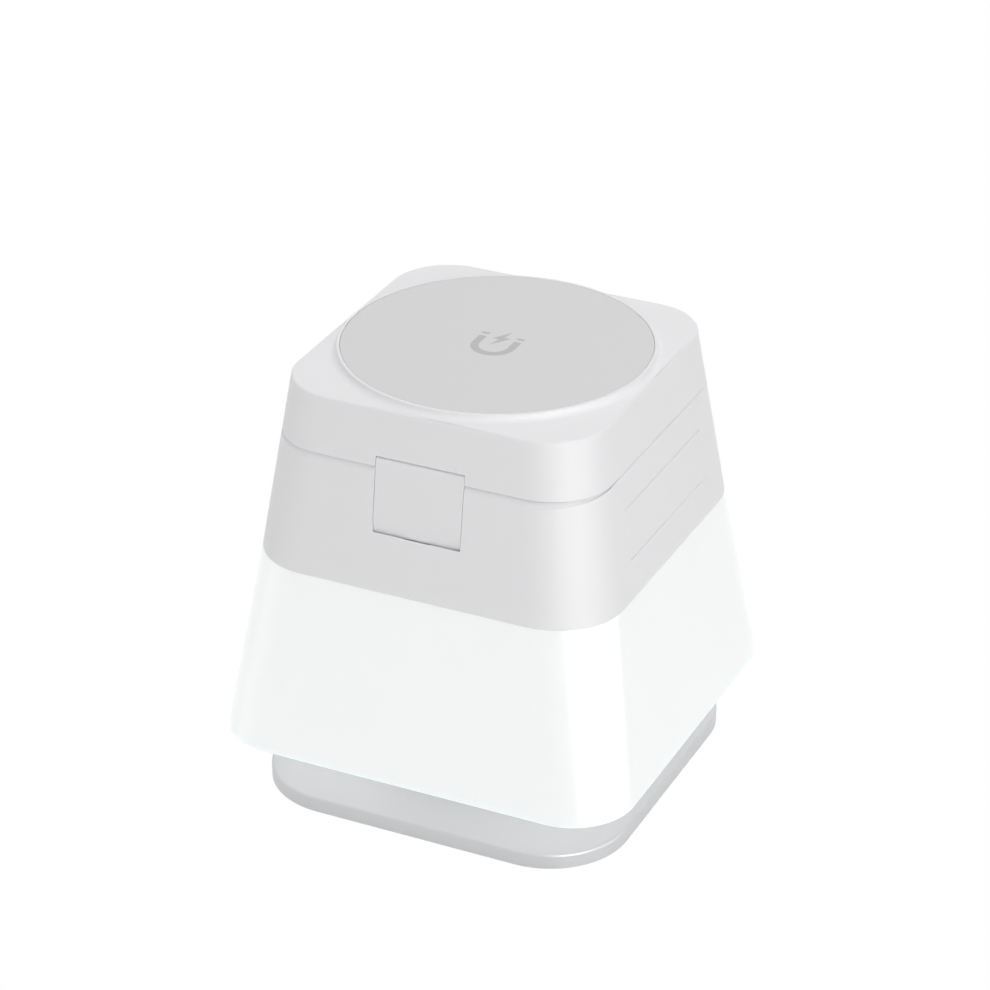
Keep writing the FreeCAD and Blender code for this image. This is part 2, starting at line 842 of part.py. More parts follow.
def lid_hinge_block(gap=0.0):
    """Walls round the link's notch in the lid."""
    back = upper_pin_y + knuckle_radius + knuckle_gap + hinge_wall
    high = link_top + link_top_gap + hinge_wall
    return box(-hinge_half - gap, hinge_half + gap, -outside, back + gap, lid_low, high + gap)


def make_collar():
    """The round collar, with a hollow curve at its foot and a soft upper edge."""
    foot = min(collar_foot, collar_height - disc_edge)
    bend = foot / math.sqrt(2)
    low = lid_top - lid_edge
    points = [Vector(0, 0, low), Vector(collar_radius + foot, 0, low)]
    points.append(Vector(collar_radius + foot, 0, lid_top))
    middle = Vector(collar_radius + foot - bend, 0, lid_top + foot - bend)
    curve_end = Vector(collar_radius, 0, lid_top + foot)
    points_above = [curve_end, Vector(collar_radius, 0, disc_top - disc_edge)]
    points_above.append(Vector(collar_radius - disc_edge, 0, disc_top))
    points_above.append(Vector(0, 0, disc_top))
    edges = [Part.LineSegment(points[i], points[i + 1]).toShape() for i in range(2)]
    edges.append(Part.Arc(points[2], middle, curve_end).toShape())
    edges.extend(Part.LineSegment(points_above[i], points_above[i + 1]).toShape() for i in range(3))
    edges.append(Part.LineSegment(points_above[3], points[0]).toShape())
    profile = Part.Face(Part.Wire(edges))
    return profile.revolve(Vector(0, 0, 0), Vector(0, 0, 1), 360)


def make_lid_shell():
    outer = tapered(lid_low, lid_top)
    rounded = outer.makeFillet(lid_edge, level_edges(outer, lid_top))
    hollow = tapered(lid_low, lid_skin_low, lid_wall)
    shell = fused([rounded, make_collar()]).cut(hollow)
    solids = [shell, lid_hinge_block().common(outer)]
    for x, y in lid_boss_places:
        solids.append(disc(boss_radius, lid_floor_top, lid_skin_low, x, y))
    shell = fused(solids)
    notch = box(-notch_half, notch_half, -outside, upper_pin_y + knuckle_radius + knuckle_gap,
                lid_low, link_top + link_top_gap)
    cuts = [notch, disc(disc_radius + disc_fit, disc_low, disc_top)]
    cuts.append(rod_x(upper_pin_radius + pin_fit, hinge_half, upper_pin_y, upper_pin_z))
    cuts.extend(holes(lid_boss_places, lid_floor_top, lid_floor_top + lid_screw_depth + screw_fit))
    return shell.cut(cuts)


def make_lid_floor():
    plate = tapered(lid_low, lid_floor_top, lid_wall + plate_fit)
    posts = [disc(boss_radius, lid_floor_top, lid_board_low, x, y) for x, y in corners(lid_board_post_place)]
    plate = fused([plate] + posts)
    cuts = [lid_hinge_block(plate_fit)]
    cuts.extend(holes(lid_boss_places, lid_head_seat, lid_floor_top))
    cuts.extend(holes(lid_boss_places, lid_low, lid_head_seat, head_radius + plate_fit))
    return plate.cut(cuts)


def make_lid_screws():
    length = lid_floor_top - lid_head_seat + lid_screw_depth
    return [screw(x, y, lid_head_seat, length, head=lid_head_height - plate_fit) for x, y in lid_boss_places]


def make_lid_board():
    return rounded_plate(lid_board_half, lid_board_half, lid_board_corner, lid_board_low, lid_board_top)


def make_phone_coil():
    return ring(coil_outer, coil_inner, lid_skin_low - coil_thickness, lid_skin_low)


def make_ferrite_disc():
    top = lid_skin_low - coil_thickness
    return disc(ferrite_radius, top - ferrite_thickness, top)


def make_magnet_ring():
    """Magnets round the coil, each a sector with a gap to the next."""
    step = 360.0 / magnet_count
    low = lid_skin_low - magnet_thickness
    magnets = []
    for index in range(magnet_count):
        size = step - magnet_gap_degrees
        outer = Part.makeCylinder(magnet_outer, magnet_thickness, Vector(0, 0, low), Vector(0, 0, 1), size)
        magnet = outer.cut(disc(magnet_inner, low, lid_skin_low))
        magnet.rotate(Vector(0, 0, 0), Vector(0, 0, 1), step * index)
        magnets.append(magnet)
    return magnets


def make_magnet_yoke():
    return ring(magnet_outer, magnet_inner, yoke_low, yoke_low + yoke_thickness)


def mark_solids():
    """The symbol as thin inlays: the horseshoe, its two tips and the bolt."""
    low = disc_top - mark_depth
    inner = mark_half_width - mark_leg_width
    bend = disc(mark_half_width, low, disc_top, 0.0, mark_bend_y)
    bend = bend.cut(disc(inner, low, disc_top, 0.0, mark_bend_y))
    bend = bend.cut(box(-outside, outside, mark_bend_y, outside, low, disc_top))
    tip_low = mark_leg_top_y + mark_tip_gap
    legs = []
    tips = []
    for side in (-1, 1):
        x_low, x_high = sorted((side * inner, side * mark_half_width))
        legs.append(box(x_low, x_high, mark_bend_y, mark_leg_top_y, low, disc_top))
        tips.append(box(x_low, x_high, tip_low, tip_low + mark_tip_height, low, disc_top))
    points = [Vector(x, y, low) for x, y in mark_bolt]
    bolt = Part.Face(Part.makePolygon(points + [points[0]])).extrude(Vector(0, 0, mark_depth))
    return [fused([bend] + legs)] + tips + [bolt]


def make_charge_disc():
    pad = disc(disc_radius, disc_low, disc_top)
    pad = pad.makeFillet(disc_edge, level_edges(pad, disc_top))
    return pad.cut(mark_solids())


pieces = {
    "foot_pad": make_foot_pad,
    "ballast_plate": make_ballast_plate,
    "base_plate": make_base_plate,
    "base_screws": make_base_screws,
    "neck": make_neck,
    "neck_screws": make_neck_screws,
    "shade_floor": make_shade_floor,
    "shade": make_shade,
    "led_board": make_led_board,
    "leds": make_leds,
    "led_screws": make_led_screws,
    "led_connector": make_led_connector,
    "body_screws": make_body_screws,
    "body_shell": make_body_shell,
    "main_board": make_main_board,
    "board_parts": make_board_parts,
    "board_screws": make_board_screws,
    "usb_socket": make_usb_socket,
    "usb_tongue": make_usb_tongue,
    "tact_switch": make_tact_switch,
    "light_button": make_light_button,
    "drawer_guide": make_drawer_guide,
    "guide_screws": make_guide_screws,
    "drawer_tray": make_drawer_tray,
    "watch_puck": make_watch_puck,
    "watch_coil": make_watch_coil,
    "watch_magnet": make_watch_magnet,
    "top_deck": make_top_deck,
    "deck_screws": make_deck_screws,
    "earbud_pad": make_earbud_pad,
    "earbud_coil": make_earbud_coil,
    "earbud_ferrite": make_earbud_ferrite,
    "hinge_link": make_hinge_link,
    "lower_pin": make_lower_pin,
    "upper_pin": make_upper_pin,
    "lid_shell": make_lid_shell,
    "lid_floor": make_lid_floor,
    "lid_screws": make_lid_screws,
    "lid_board": make_lid_board,
    "phone_coil": make_phone_coil,
    "ferrite_disc": make_ferrite_disc,
    "magnet_ring": make_magnet_ring,
    "magnet_yoke": make_magnet_yoke,
    "charge_disc": make_charge_disc,
    "disc_mark": mark_solids,
}

os.makedirs("parts", exist_ok=True)
for name, make in pieces.items():
    shape = make()
    if isinstance(shape, list):
        shape = Part.makeCompound(shape)
    shape.exportStep("parts/" + name + ".step")
    print(name, len(shape.Solids), round(shape.Volume, 1), shape.isValid())
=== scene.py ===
"""Visible pieces of a wireless charging station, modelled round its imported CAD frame."""

import math

import bmesh
import bpy
from bpy.props import FloatProperty, FloatVectorProperty, PointerProperty
from mathutils import Matrix, Vector


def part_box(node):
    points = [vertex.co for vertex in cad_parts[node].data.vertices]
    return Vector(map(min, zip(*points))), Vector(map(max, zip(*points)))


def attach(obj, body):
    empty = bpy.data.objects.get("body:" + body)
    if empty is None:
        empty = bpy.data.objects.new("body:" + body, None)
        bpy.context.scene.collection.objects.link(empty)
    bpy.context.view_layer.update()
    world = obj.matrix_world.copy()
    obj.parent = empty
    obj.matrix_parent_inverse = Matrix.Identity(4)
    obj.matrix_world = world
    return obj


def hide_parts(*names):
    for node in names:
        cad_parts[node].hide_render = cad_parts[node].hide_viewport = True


bl_info = {
    "name": "Wireless charging station",
    "version": (1, 0, 0),
    "blender": (4, 5, 0),
    "location": "View3D > Sidebar > Station",
    "description": "Models and finishes the charging station round its CAD frame",
    "category": "Object",
}

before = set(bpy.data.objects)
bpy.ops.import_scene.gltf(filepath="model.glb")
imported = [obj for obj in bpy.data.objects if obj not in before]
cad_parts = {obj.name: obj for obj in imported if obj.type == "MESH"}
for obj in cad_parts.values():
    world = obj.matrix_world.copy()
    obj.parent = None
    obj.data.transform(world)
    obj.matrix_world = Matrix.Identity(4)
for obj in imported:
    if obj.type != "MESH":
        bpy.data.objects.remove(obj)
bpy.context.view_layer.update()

MM = 0.001
CORNER_STEPS = 24
ROUND_STEPS = 160
SMALL_ROUND_STEPS = 64
HOLE_STEPS = 48
SCREW_STEPS = 40
FAR = 80 * MM
SPECK = 0.002 * MM
RING_MARK = "ring"

# A capsule's corner radius as a share of its half height: at 1 its ring would no longer be a bevelled plane
ROUND_END = 0.999


# Levels and widths read from the frame

SHADE_LOW, SHADE_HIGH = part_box("shade")
BODY_LOW, BODY_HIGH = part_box("body_shell")
LID_LOW, LID_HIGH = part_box("lid_shell")
BASE_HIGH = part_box("base_plate")[1]
FOOT_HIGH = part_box("foot_pad")[1]
BALLAST_LOW, BALLAST_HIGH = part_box("ballast_plate")
NECK_LOW, NECK_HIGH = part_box("neck")
DISC_LOW, DISC_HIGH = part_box("charge_disc")
LID_FLOOR_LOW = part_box("lid_floor")[0]
PAD_LOW, PAD_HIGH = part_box("earbud_pad")
LINK_LOW, LINK_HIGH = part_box("hinge_link")
LOWER_PIN_LOW, LOWER_PIN_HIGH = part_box("lower_pin")
UPPER_PIN_LOW, UPPER_PIN_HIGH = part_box("upper_pin")
DRAWER_LOW, DRAWER_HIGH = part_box("drawer_tray")
PUCK_LOW, PUCK_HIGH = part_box("watch_puck")
INLET_LOW, INLET_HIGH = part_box("usb_socket")
BUTTON_LOW, BUTTON_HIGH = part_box("light_button")

TAPER = (SHADE_HIGH.x - LID_HIGH.x) / (LID_LOW.z - SHADE_LOW.z)

# Walls, and the gaps between the mouldings

COLLAR_RISE = 1.4 * MM
LID_TOP = LID_HIGH.z - COLLAR_RISE
BODY_WALL = 2.0 * MM
SHADE_WALL = 2.2 * MM
LID_WALL = 2.0 * MM
HINGE_WALL = 1.6 * MM
PLATE_FIT = 0.1 * MM
SEAM_GAP = 0.08 * MM
BUTTON_RADIUS = 3.0 * MM
SCREW_ROOM = 1.9 * MM

# Rounding of the edges of the lesser pieces

METAL_EDGE = 0.04 * MM
FINE_EDGE = 0.08 * MM
PAD_EDGE = 0.12 * MM
INNER_EDGE = 0.15 * MM

# The body's rim: a chamfer that grows towards the front, a lip, and a step behind the lip

BEVEL_START = 18.4 * MM
BEVEL_DROP = 1.1 * MM
CHAMFER_DEPTH = 0.55 * MM
DECK_DROP = 0.2 * MM
RIM_LIP = 0.6 * MM
RIM_STEP = 0.85 * MM
RIM_STEP_BACK = 0.9 * MM

# The hinge tab, and the pocket and notch round it

TAB_TOP = LINK_HIGH.z - 0.3 * MM
TAB_FOOT = 66.0 * MM
FOOT_HEIGHT = 4.25 * MM
FOOT_DEPTH = 1.75 * MM
NOTCH_SIDE = 0.1 * MM
NOTCH_TOP = 0.27 * MM
BARREL_GAP = 0.2 * MM
POCKET_BACK = 0.3 * MM
LIP_DROP = 2.35 * MM


def half_at(z):
    """Half the width of the tapered outside at a height."""
    return SHADE_HIGH.x - TAPER * (z - SHADE_LOW.z)


def linear(hex_colour):
    """An sRGB hex colour as linear red, green, blue and alpha."""
    values = []
    for start in (0, 2, 4):
        part = int(hex_colour[start:start + 2], 16) / 255
        values.append(part / 12.92 if part <= 0.04045 else ((part + 0.055) / 1.055) ** 2.4)
    return (*values, 1.0)


def length_property(name, description, millimetres):
    return FloatProperty(name=name, description=description, default=millimetres * MM,
                         min=0.0, unit="LENGTH", subtype="DISTANCE", precision=5)


def colour_property(name, description, hex_colour):
    return FloatVectorProperty(name=name, description=description, default=linear(hex_colour),
                               size=4, min=0.0, max=1.0, subtype="COLOR")


class StationSizes(bpy.types.PropertyGroup):
    """Sizes of the mouldings that can be changed without moving the frame."""

    lid_corner: length_property("Lid corner", "Corner radius at the lid's top", 11.5)
    shoulder_corner: length_property("Shoulder corner", "Corner radius where shade and body meet", 13.2)
    skirt_corner: length_property("Skirt corner", "Corner radius at the shade's foot", 12.5)
    base_corner: length_property("Base corner", "Corner radius of the foot plate", 15.9)
    base_edge: length_property("Base edge", "Rounding of the foot plate's upper edge", 0.5)
    lid_edge: length_property("Lid edge", "Rounding of the lid's upper edge", 0.4)
    mould_edge: length_property("Moulded edge", "Rounding of the shells' other edges", 0.06)
    collar_foot: length_property("Collar foot", "Radius of the hollow curve at the collar's foot", 1.15)
    dish_depth: length_property("Watch dish", "Depth of the dish in the watch cup", 0.5)
    grain: length_property("Mould grain", "Distance between grains of the moulded texture", 0.35)


class StationColours(bpy.types.PropertyGroup):
    """Colours of the visible finishes."""

    shell: colour_property("Shell", "White moulded shells", "E8E8E8")
    # Also the colour of the shade's painted glow
    shade: colour_property("Shade", "Opal lamp shade", "ECEDED")
    # Painted highlight: this pale blue-green is blended into the shade's lowest 1.2 mm
    shade_edge_highlight: colour_property("Shade edge", "Cut edge of the opal shade", "E6F6F5")
    base: colour_property("Base", "Foot plate and neck", "DADADB")
    inner: colour_property("Inner", "Deck, guide and lid underside", "E2E2E2")
    pad: colour_property("Pad", "Charging and earbud pads", "DADADA")
    symbol: colour_property("Symbol", "Symbol on the charging pad", "BCBCBC")
    rubber: colour_property("Rubber", "Foot pad", "45474A")
    steel: colour_property("Steel", "Screws, pins, inlet and ballast", "C3C5C7")
    copper: colour_property("Copper", "Enamelled coil wire", "B4683A")
    floor: colour_property("Floor", "Studio floor", "FFFFFF")


def sizes():
    return bpy.context.scene.station_sizes


def colours():
    return bpy.context.scene.station_colours


def corner_at(z):
    """Corner radius of the tapered outside at a height."""
    settings = sizes()
    if z >= SHADE_HIGH.z:
        share = (LID_TOP - z) / (LID_TOP - SHADE_HIGH.z)
        return settings.lid_corner + (settings.shoulder_corner - settings.lid_corner) * share
    share = (SHADE_HIGH.z - z) / (SHADE_HIGH.z - SHADE_LOW.z)
    return settings.shoulder_corner + (settings.skirt_corner - settings.shoulder_corner) * share


# Modelling helpers

def select_nothing():
    """Leaves edit mode with nothing selected."""
    if bpy.context.object and bpy.context.object.mode != "OBJECT":
        bpy.ops.object.mode_set(mode="OBJECT")
    bpy.ops.object.select_all(action="DESELECT")


def select_only(piece):
    """Leaves one object selected and active, in object mode."""
    select_nothing()
    piece.select_set(True)
    bpy.context.view_layer.objects.active = piece


def new_mesh(name):
    """An empty mesh object at the origin, opened for editing."""
    select_nothing()
    bpy.ops.object.add(type="MESH", location=(0, 0, 0))
    piece = bpy.context.object
    piece.name = name
    piece.data.name = name
    bpy.ops.object.mode_set(mode="EDIT")
    bpy.ops.mesh.select_mode(type="EDGE")
    return piece


def close_mesh(piece):
    """Turns the faces outwards and leaves edit mode."""
    bpy.ops.mesh.select_all(action="SELECT")
    bpy.ops.mesh.normals_make_consistent(inside=False)
    if bmesh.from_edit_mesh(piece.data).calc_volume(signed=True) < 0:
        bpy.ops.mesh.flip_normals()
    bpy.ops.object.mode_set(mode="OBJECT")
    mark = piece.data.attributes.get(RING_MARK)
    if mark:
        piece.data.attributes.remove(mark)
    return piece


def select_rings(piece, numbers):
    """Selects the edges that lie along the rings with these numbers."""
    mesh = bmesh.from_edit_mesh(piece.data)
    mark = mesh.verts.layers.int[RING_MARK]
    for part in (mesh.faces, mesh.edges, mesh.verts):
        for item in part:
            item.select = False
    for edge in mesh.edges:
        first, second = (vertex[mark] for vertex in edge.verts)
        if first == second and first in numbers:
            edge.select_set(True)
    bmesh.update_edit_mesh(piece.data)


def join_pieces(pieces):
    """Joins pieces to the first of them."""
    select_only(pieces[0])
    for piece in pieces:
        piece.select_set(True)
    bpy.ops.object.join()
    return pieces[0]


def stack(name, rings, steps=ROUND_STEPS):
    """A skin over rounded rectangles (half x, half y, corner, z), each bridged to the one before.

    Rings whose corners meet are circles. The first and last rings get caps. The rings are bridged
    one above the other, which gives each bridge a clear direction, and then go to their own levels."""
    piece = new_mesh(name)
    mark = bmesh.from_edit_mesh(piece.data).verts.layers.int.new(RING_MARK)
    for number, (half_x, half_y, corner, _) in enumerate(rings, start=1):
        step = (0, 0, number * MM)
        bpy.ops.mesh.select_all(action="DESELECT")
        if corner >= half_x and half_x == half_y:
            bpy.ops.mesh.primitive_circle_add(vertices=steps, radius=half_x, location=step)
        else:
            bpy.ops.mesh.primitive_plane_add(size=2 * half_x, location=step)
            bpy.ops.transform.resize(value=(1, half_y / half_x, 1), center_override=step)
            bpy.ops.mesh.bevel(offset=corner, segments=CORNER_STEPS, profile=0.5, affect="VERTICES")
        mesh = bmesh.from_edit_mesh(piece.data)
        mark = mesh.verts.layers.int[RING_MARK]
        for vertex in mesh.verts:
            if vertex.select:
                vertex[mark] = number
        bpy.ops.mesh.delete(type="ONLY_FACE")
        if number > 1:
            select_rings(piece, (number - 1, number))
            bpy.ops.mesh.bridge_edge_loops()
    for number in (1, len(rings)):
        select_rings(piece, (number,))
        bpy.ops.mesh.edge_face_add()
    mesh = bmesh.from_edit_mesh(piece.data)
    mark = mesh.verts.layers.int[RING_MARK]
    for vertex in mesh.verts:
        vertex.co.z = rings[vertex[mark] - 1][3]
    bmesh.update_edit_mesh(piece.data)
    return close_mesh(piece)


def tapered_rings(levels):
    """Rings of the outside at (z, inset) pairs."""
    rings = []
    for z, inset in levels:
        half = half_at(z) - inset
        rings.append((half, half, corner_at(z) - inset, z))
    return rings


def round_rings(levels):
    """Circles at (radius, z) pairs."""
    return [(radius, radius, radius, z) for radius, z in levels]


def arc(centre_a, centre_b, radius, start, end, steps):
    """Points on an arc between two angles in degrees."""
    points = []
    for step in range(steps + 1):
        angle = math.radians(start + (end - start) * step / steps)
        points.append((centre_a + radius * math.cos(angle), centre_b + radius * math.sin(angle)))
    return points


def outline_solid(name, points, axis, low, high):
    """A flat outline, set out from a circle's vertices and extruded along an axis."""
    piece = new_mesh(name)
    bpy.ops.mesh.primitive_circle_add(vertices=len(points), radius=MM, fill_type="NGON")
    mesh = bmesh.from_edit_mesh(piece.data)
    mesh.verts.ensure_lookup_table()
    for vertex, (first, second) in zip(mesh.verts, points):
        vertex.co = {"X": (low, first, second), "Y": (first, low, second), "Z": (first, second, low)}[axis]
    bmesh.update_edit_mesh(piece.data)
    move = Vector([high - low if axis == letter else 0.0 for letter in "XYZ"])
    bpy.ops.mesh.select_all(action="SELECT")
    bpy.ops.mesh.extrude_region_move(TRANSFORM_OT_translate={"value": move})
    return close_mesh(piece)


def block(name, low, high):
    """A box between two corners, for cutting and joining."""
    low, high = Vector(low), Vector(high)
    piece = new_mesh(name)
    middle = (low + high) / 2
    bpy.ops.mesh.primitive_cube_add(size=1, location=middle)
    bpy.ops.transform.resize(value=high - low, center_override=middle)
    return close_mesh(piece)


def place(piece, turn=(0, 0, 0), move=(0, 0, 0)):
    """Turns and moves a piece, and puts both into its mesh."""
    select_only(piece)
    piece.rotation_euler = [math.radians(angle) for angle in turn]
    piece.location = move
    bpy.ops.object.transform_apply(location=True, rotation=True, scale=True)
    return piece


def combine(piece, others, operation="DIFFERENCE"):
    """Cuts other pieces out of a piece, or joins them to it."""
    for other in others:
        select_only(piece)
        modifier = piece.modifiers.new("combine", "BOOLEAN")
        modifier.object = other
        modifier.operation = operation
        modifier.solver = "EXACT"
        bpy.ops.object.modifier_apply(modifier=modifier.name)
        bpy.data.meshes.remove(other.data)
    return piece


def soften(piece, width, steps=3, angle=32):
    """Rounds the sharp edges and shades the rest smooth."""
    select_only(piece)
    bpy.ops.object.mode_set(mode="EDIT")
    bpy.ops.mesh.select_all(action="SELECT")
    bpy.ops.mesh.remove_doubles(threshold=SPECK)
    bpy.ops.mesh.dissolve_degenerate(threshold=SPECK)
    bpy.ops.object.mode_set(mode="OBJECT")
    if width > 0:
        modifier = piece.modifiers.new("edges", "BEVEL")
        modifier.width = width
        modifier.segments = steps
        modifier.limit_method = "ANGLE"
        modifier.angle_limit = math.radians(angle)
        modifier.use_clamp_overlap = False
        bpy.ops.object.modifier_apply(modifier=modifier.name)
    bpy.ops.object.shade_smooth_by_angle(angle=math.radians(angle))
    modifier = piece.modifiers.new("normals", "WEIGHTED_NORMAL")
    modifier.keep_sharp = True
    modifier.weight = 100
    bpy.ops.object.modifier_apply(modifier=modifier.name)
    return piece


def finish_piece(piece, body, nodes, material):
    """Gives a piece its finish and its body, and hides the CAD nodes that it stands for."""
    piece.data.materials.clear()
    piece.data.materials.append(material)
    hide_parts(*nodes)
    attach(piece, body)


# Materials

def add_node(tree, kind, inputs=None, **settings):
    """Adds a shader node with its settings, and links or sets its inputs."""
    node = tree.nodes.new(kind)
    for name, value in settings.items():
        setattr(node, name, value)
    for name, value in (inputs or {}).items():
        socket = node.inputs[name]
        if isinstance(value, bpy.types.NodeSocket):
            tree.links.new(value, socket)
        else:
            socket.default_value = value
    return node


def new_material(name):
    """An empty node material, its node tree and its Object coordinates."""
    material = bpy.data.materials.new(name)
    material.use_nodes = True
    material.node_tree.nodes.clear()
    tree = material.node_tree
    return material, tree, add_node(tree, "ShaderNodeTexCoord").outputs["Object"]


def finish_material(material, tree, **inputs):
    """Adds the surface shader and the output."""
    names = {key.replace("_", " "): value for key, value in inputs.items()}
    shader = add_node(tree, "ShaderNodeBsdfPrincipled", names)
    add_node(tree, "ShaderNodeOutputMaterial", {"Surface": shader.outputs["BSDF"]})
    return material


def moulded_plastic(name, colour, roughness, bump, **more):
    """Moulded ABS with spark-eroded grain: matt, with faint clouding in the gloss."""
    material, tree, coords = new_material(name)
    fine = add_node(tree, "ShaderNodeTexNoise", {
        "Vector": coords, "Scale": 1 / sizes().grain, "Detail": 3.0})
    cloud = add_node(tree, "ShaderNodeTexNoise", {
        "Vector": coords, "Scale": 1 / (14 * MM), "Detail": 2.0})
    gloss = add_node(tree, "ShaderNodeMapRange", {
        "Value": cloud.outputs["Fac"], "To Min": roughness - 0.03, "To Max": roughness + 0.03})
    tone = add_node(tree, "ShaderNodeMapRange", {
        "Value": fine.outputs["Fac"], "To Min": 0.975, "To Max": 1.0})
    tint = add_node(tree, "ShaderNodeVectorMath", {0: colour[:3], "Scale": tone.outputs["Result"]},
                    operation="SCALE")
    relief = add_node(tree, "ShaderNodeBump", {
        "Height": fine.outputs["Fac"], "Strength": 0.25, "Distance": bump})
    return finish_material(material, tree, Base_Color=tint.outputs["Vector"], IOR=1.53,
                           Roughness=gloss.outputs["Result"], Normal=relief.outputs["Normal"], **more)


def opal_acrylic():
    """Opal acrylic: milky, with a painted glow all through that stands in for the lamp lit inside, and a
    painted pale blue-green highlight along its lower, cut edge.
    """
    palette = colours()
    material, tree, coords = new_material("opal_acrylic")
    split = add_node(tree, "ShaderNodeSeparateXYZ", {"Vector": coords})
    # Painted highlight: the lowest 1.2 mm of the shade blends to the pale blue-green edge colour
    edge = add_node(tree, "ShaderNodeMapRange", {
        "Value": split.outputs["Z"], "From Min": SHADE_LOW.z, "From Max": SHADE_LOW.z + 1.2 * MM,
        "To Min": 1.0, "To Max": 0.0})
    milk = add_node(tree, "ShaderNodeTexNoise", {
        "Vector": coords, "Scale": 1 / (22 * MM), "Detail": 1.0})
    body = add_node(tree, "ShaderNodeMapRange", {
        "Value": milk.outputs["Fac"], "To Min": 0.985, "To Max": 1.0})
    tint = add_node(tree, "ShaderNodeVectorMath", {
        0: tuple(palette.shade)[:3], "Scale": body.outputs["Result"]}, operation="SCALE")
    blend = add_node(tree, "ShaderNodeMix", {
        "Factor": edge.outputs["Result"], "A": tint.outputs["Vector"], "B": tuple(palette.shade_edge_highlight)},
        data_type="RGBA")
    # Painted glow: emission in the shade's own surface, in the shade colour, stands in for the lamp lit
    # inside
    return finish_material(
        material, tree, Base_Color=blend.outputs[2], Roughness=0.28, IOR=1.49,
        Subsurface_Weight=0.35, Subsurface_Radius=(1.0, 1.05, 1.1), Subsurface_Scale=1.5 * MM,
        Sheen_Weight=0.12, Sheen_Roughness=0.4, Sheen_Tint=linear("DDF6F6"),
        Emission_Color=tuple(palette.shade), Emission_Strength=0.26)


def painted_glow_plate():
    """Pale ABS, matt, with a painted glow: emission in its own surface stands in for light from the lamp
    behind it, and lights the foot plate below.
    """
    colour = tuple(colours().base)
    # Painted glow: the plate's own colour emitted at strength 0.88
    return moulded_plastic("painted_glow_grey_abs", colour, 0.42, 0.008 * MM,
                           Emission_Color=colour, Emission_Strength=0.88)


def silicone(name, colour, roughness):
    """Silicone rubber: soft and matt, with a powdery sheen and a very fine blasted grain."""
    material, tree, coords = new_material(name)
    fine = add_node(tree, "ShaderNodeTexNoise", {
        "Vector": coords, "Scale": 1 / (0.3 * MM), "Detail": 2.0})
    tone = add_node(tree, "ShaderNodeMapRange", {
        "Value": fine.outputs["Fac"], "To Min": 0.98, "To Max": 1.0})
    tint = add_node(tree, "ShaderNodeVectorMath", {0: tuple(colour)[:3], "Scale": tone.outputs["Result"]},
                    operation="SCALE")
    relief = add_node(tree, "ShaderNodeBump", {
        "Height": fine.outputs["Fac"], "Strength": 0.2, "Distance": 0.01 * MM})
    return finish_material(material, tree, Base_Color=tint.outputs["Vector"], Roughness=roughness,
                           IOR=1.41, Sheen_Weight=0.05, Sheen_Roughness=0.5,
                           Normal=relief.outputs["Normal"])


def rolled_steel(name, colour, roughness):
    """Zinc-plated steel: a cool grey metal with fine drawn lines along the strip."""
    material, tree, coords = new_material(name)
    stretch = add_node(tree, "ShaderNodeMapping", {
        "Vector": coords, "Scale": (1 / (6 * MM), 1 / (0.15 * MM), 1 / (0.15 * MM))})
    lines = add_node(tree, "ShaderNodeTexNoise", {"Vector": stretch.outputs["Vector"], "Scale": 1.0})
    gloss = add_node(tree, "ShaderNodeMapRange", {
        "Value": lines.outputs["Fac"], "To Min": roughness - 0.08, "To Max": roughness + 0.08})
    relief = add_node(tree, "ShaderNodeBump", {
        "Height": lines.outputs["Fac"], "Strength": 0.15, "Distance": 0.01 * MM})
    return finish_material(material, tree, Base_Color=tuple(colour), Metallic=1.0,
                           Roughness=gloss.outputs["Result"], Normal=relief.outputs["Normal"])


def wound_wire():
    """Enamelled copper litz: round turns side by side, drawn 0.8 mm apart, with an orange gloss."""
    pitch = 0.8 * MM
    wave_rate = 20
    material, tree, coords = new_material("enamelled_copper_wire")
    turns = add_node(tree, "ShaderNodeTexWave", {
        "Vector": coords, "Scale": 2 * math.pi / (wave_rate * pitch), "Distortion": 0.0},
        wave_type="RINGS", rings_direction="Z")
    # Painted shade: the colour darkens to 0.45 between the turns, where shade falls in the grooves
    shade = add_node(tree, "ShaderNodeMapRange", {
        "Value": turns.outputs["Fac"], "To Min": 0.45, "To Max": 1.0})
    tint = add_node(tree, "ShaderNodeVectorMath", {
        0: tuple(colours().copper)[:3], "Scale": shade.outputs["Result"]}, operation="SCALE")
    relief = add_node(tree, "ShaderNodeBump", {
        "Height": turns.outputs["Fac"], "Strength": 0.6, "Distance": 0.2 * MM})
    return finish_material(material, tree, Base_Color=tint.outputs["Vector"], Metallic=0.75,
                           Roughness=0.32, Normal=relief.outputs["Normal"])


def circuit_board(name, hex_mask, hex_track):
    """Solder mask over copper tracks: glossy lacquer with faint raised lines."""
    material, tree, coords = new_material(name)
    tracks = add_node(tree, "ShaderNodeTexBrick", {
        "Vector": coords, "Color1": (0, 0, 0, 1), "Color2": (0, 0, 0, 1), "Mortar": (1, 1, 1, 1),
        "Scale": 1.0, "Mortar Size": 0.15 * MM, "Brick Width": 5 * MM, "Row Height": 1.6 * MM})
    blend = add_node(tree, "ShaderNodeMix", {
        "Factor": tracks.outputs["Color"], "A": linear(hex_mask), "B": linear(hex_track)},
        data_type="RGBA")
    relief = add_node(tree, "ShaderNodeBump", {
        "Height": tracks.outputs["Color"], "Strength": 0.4, "Distance": 0.04 * MM})
    return finish_material(material, tree, Base_Color=blend.outputs[2], Roughness=0.3, IOR=1.5,
                           Normal=relief.outputs["Normal"])


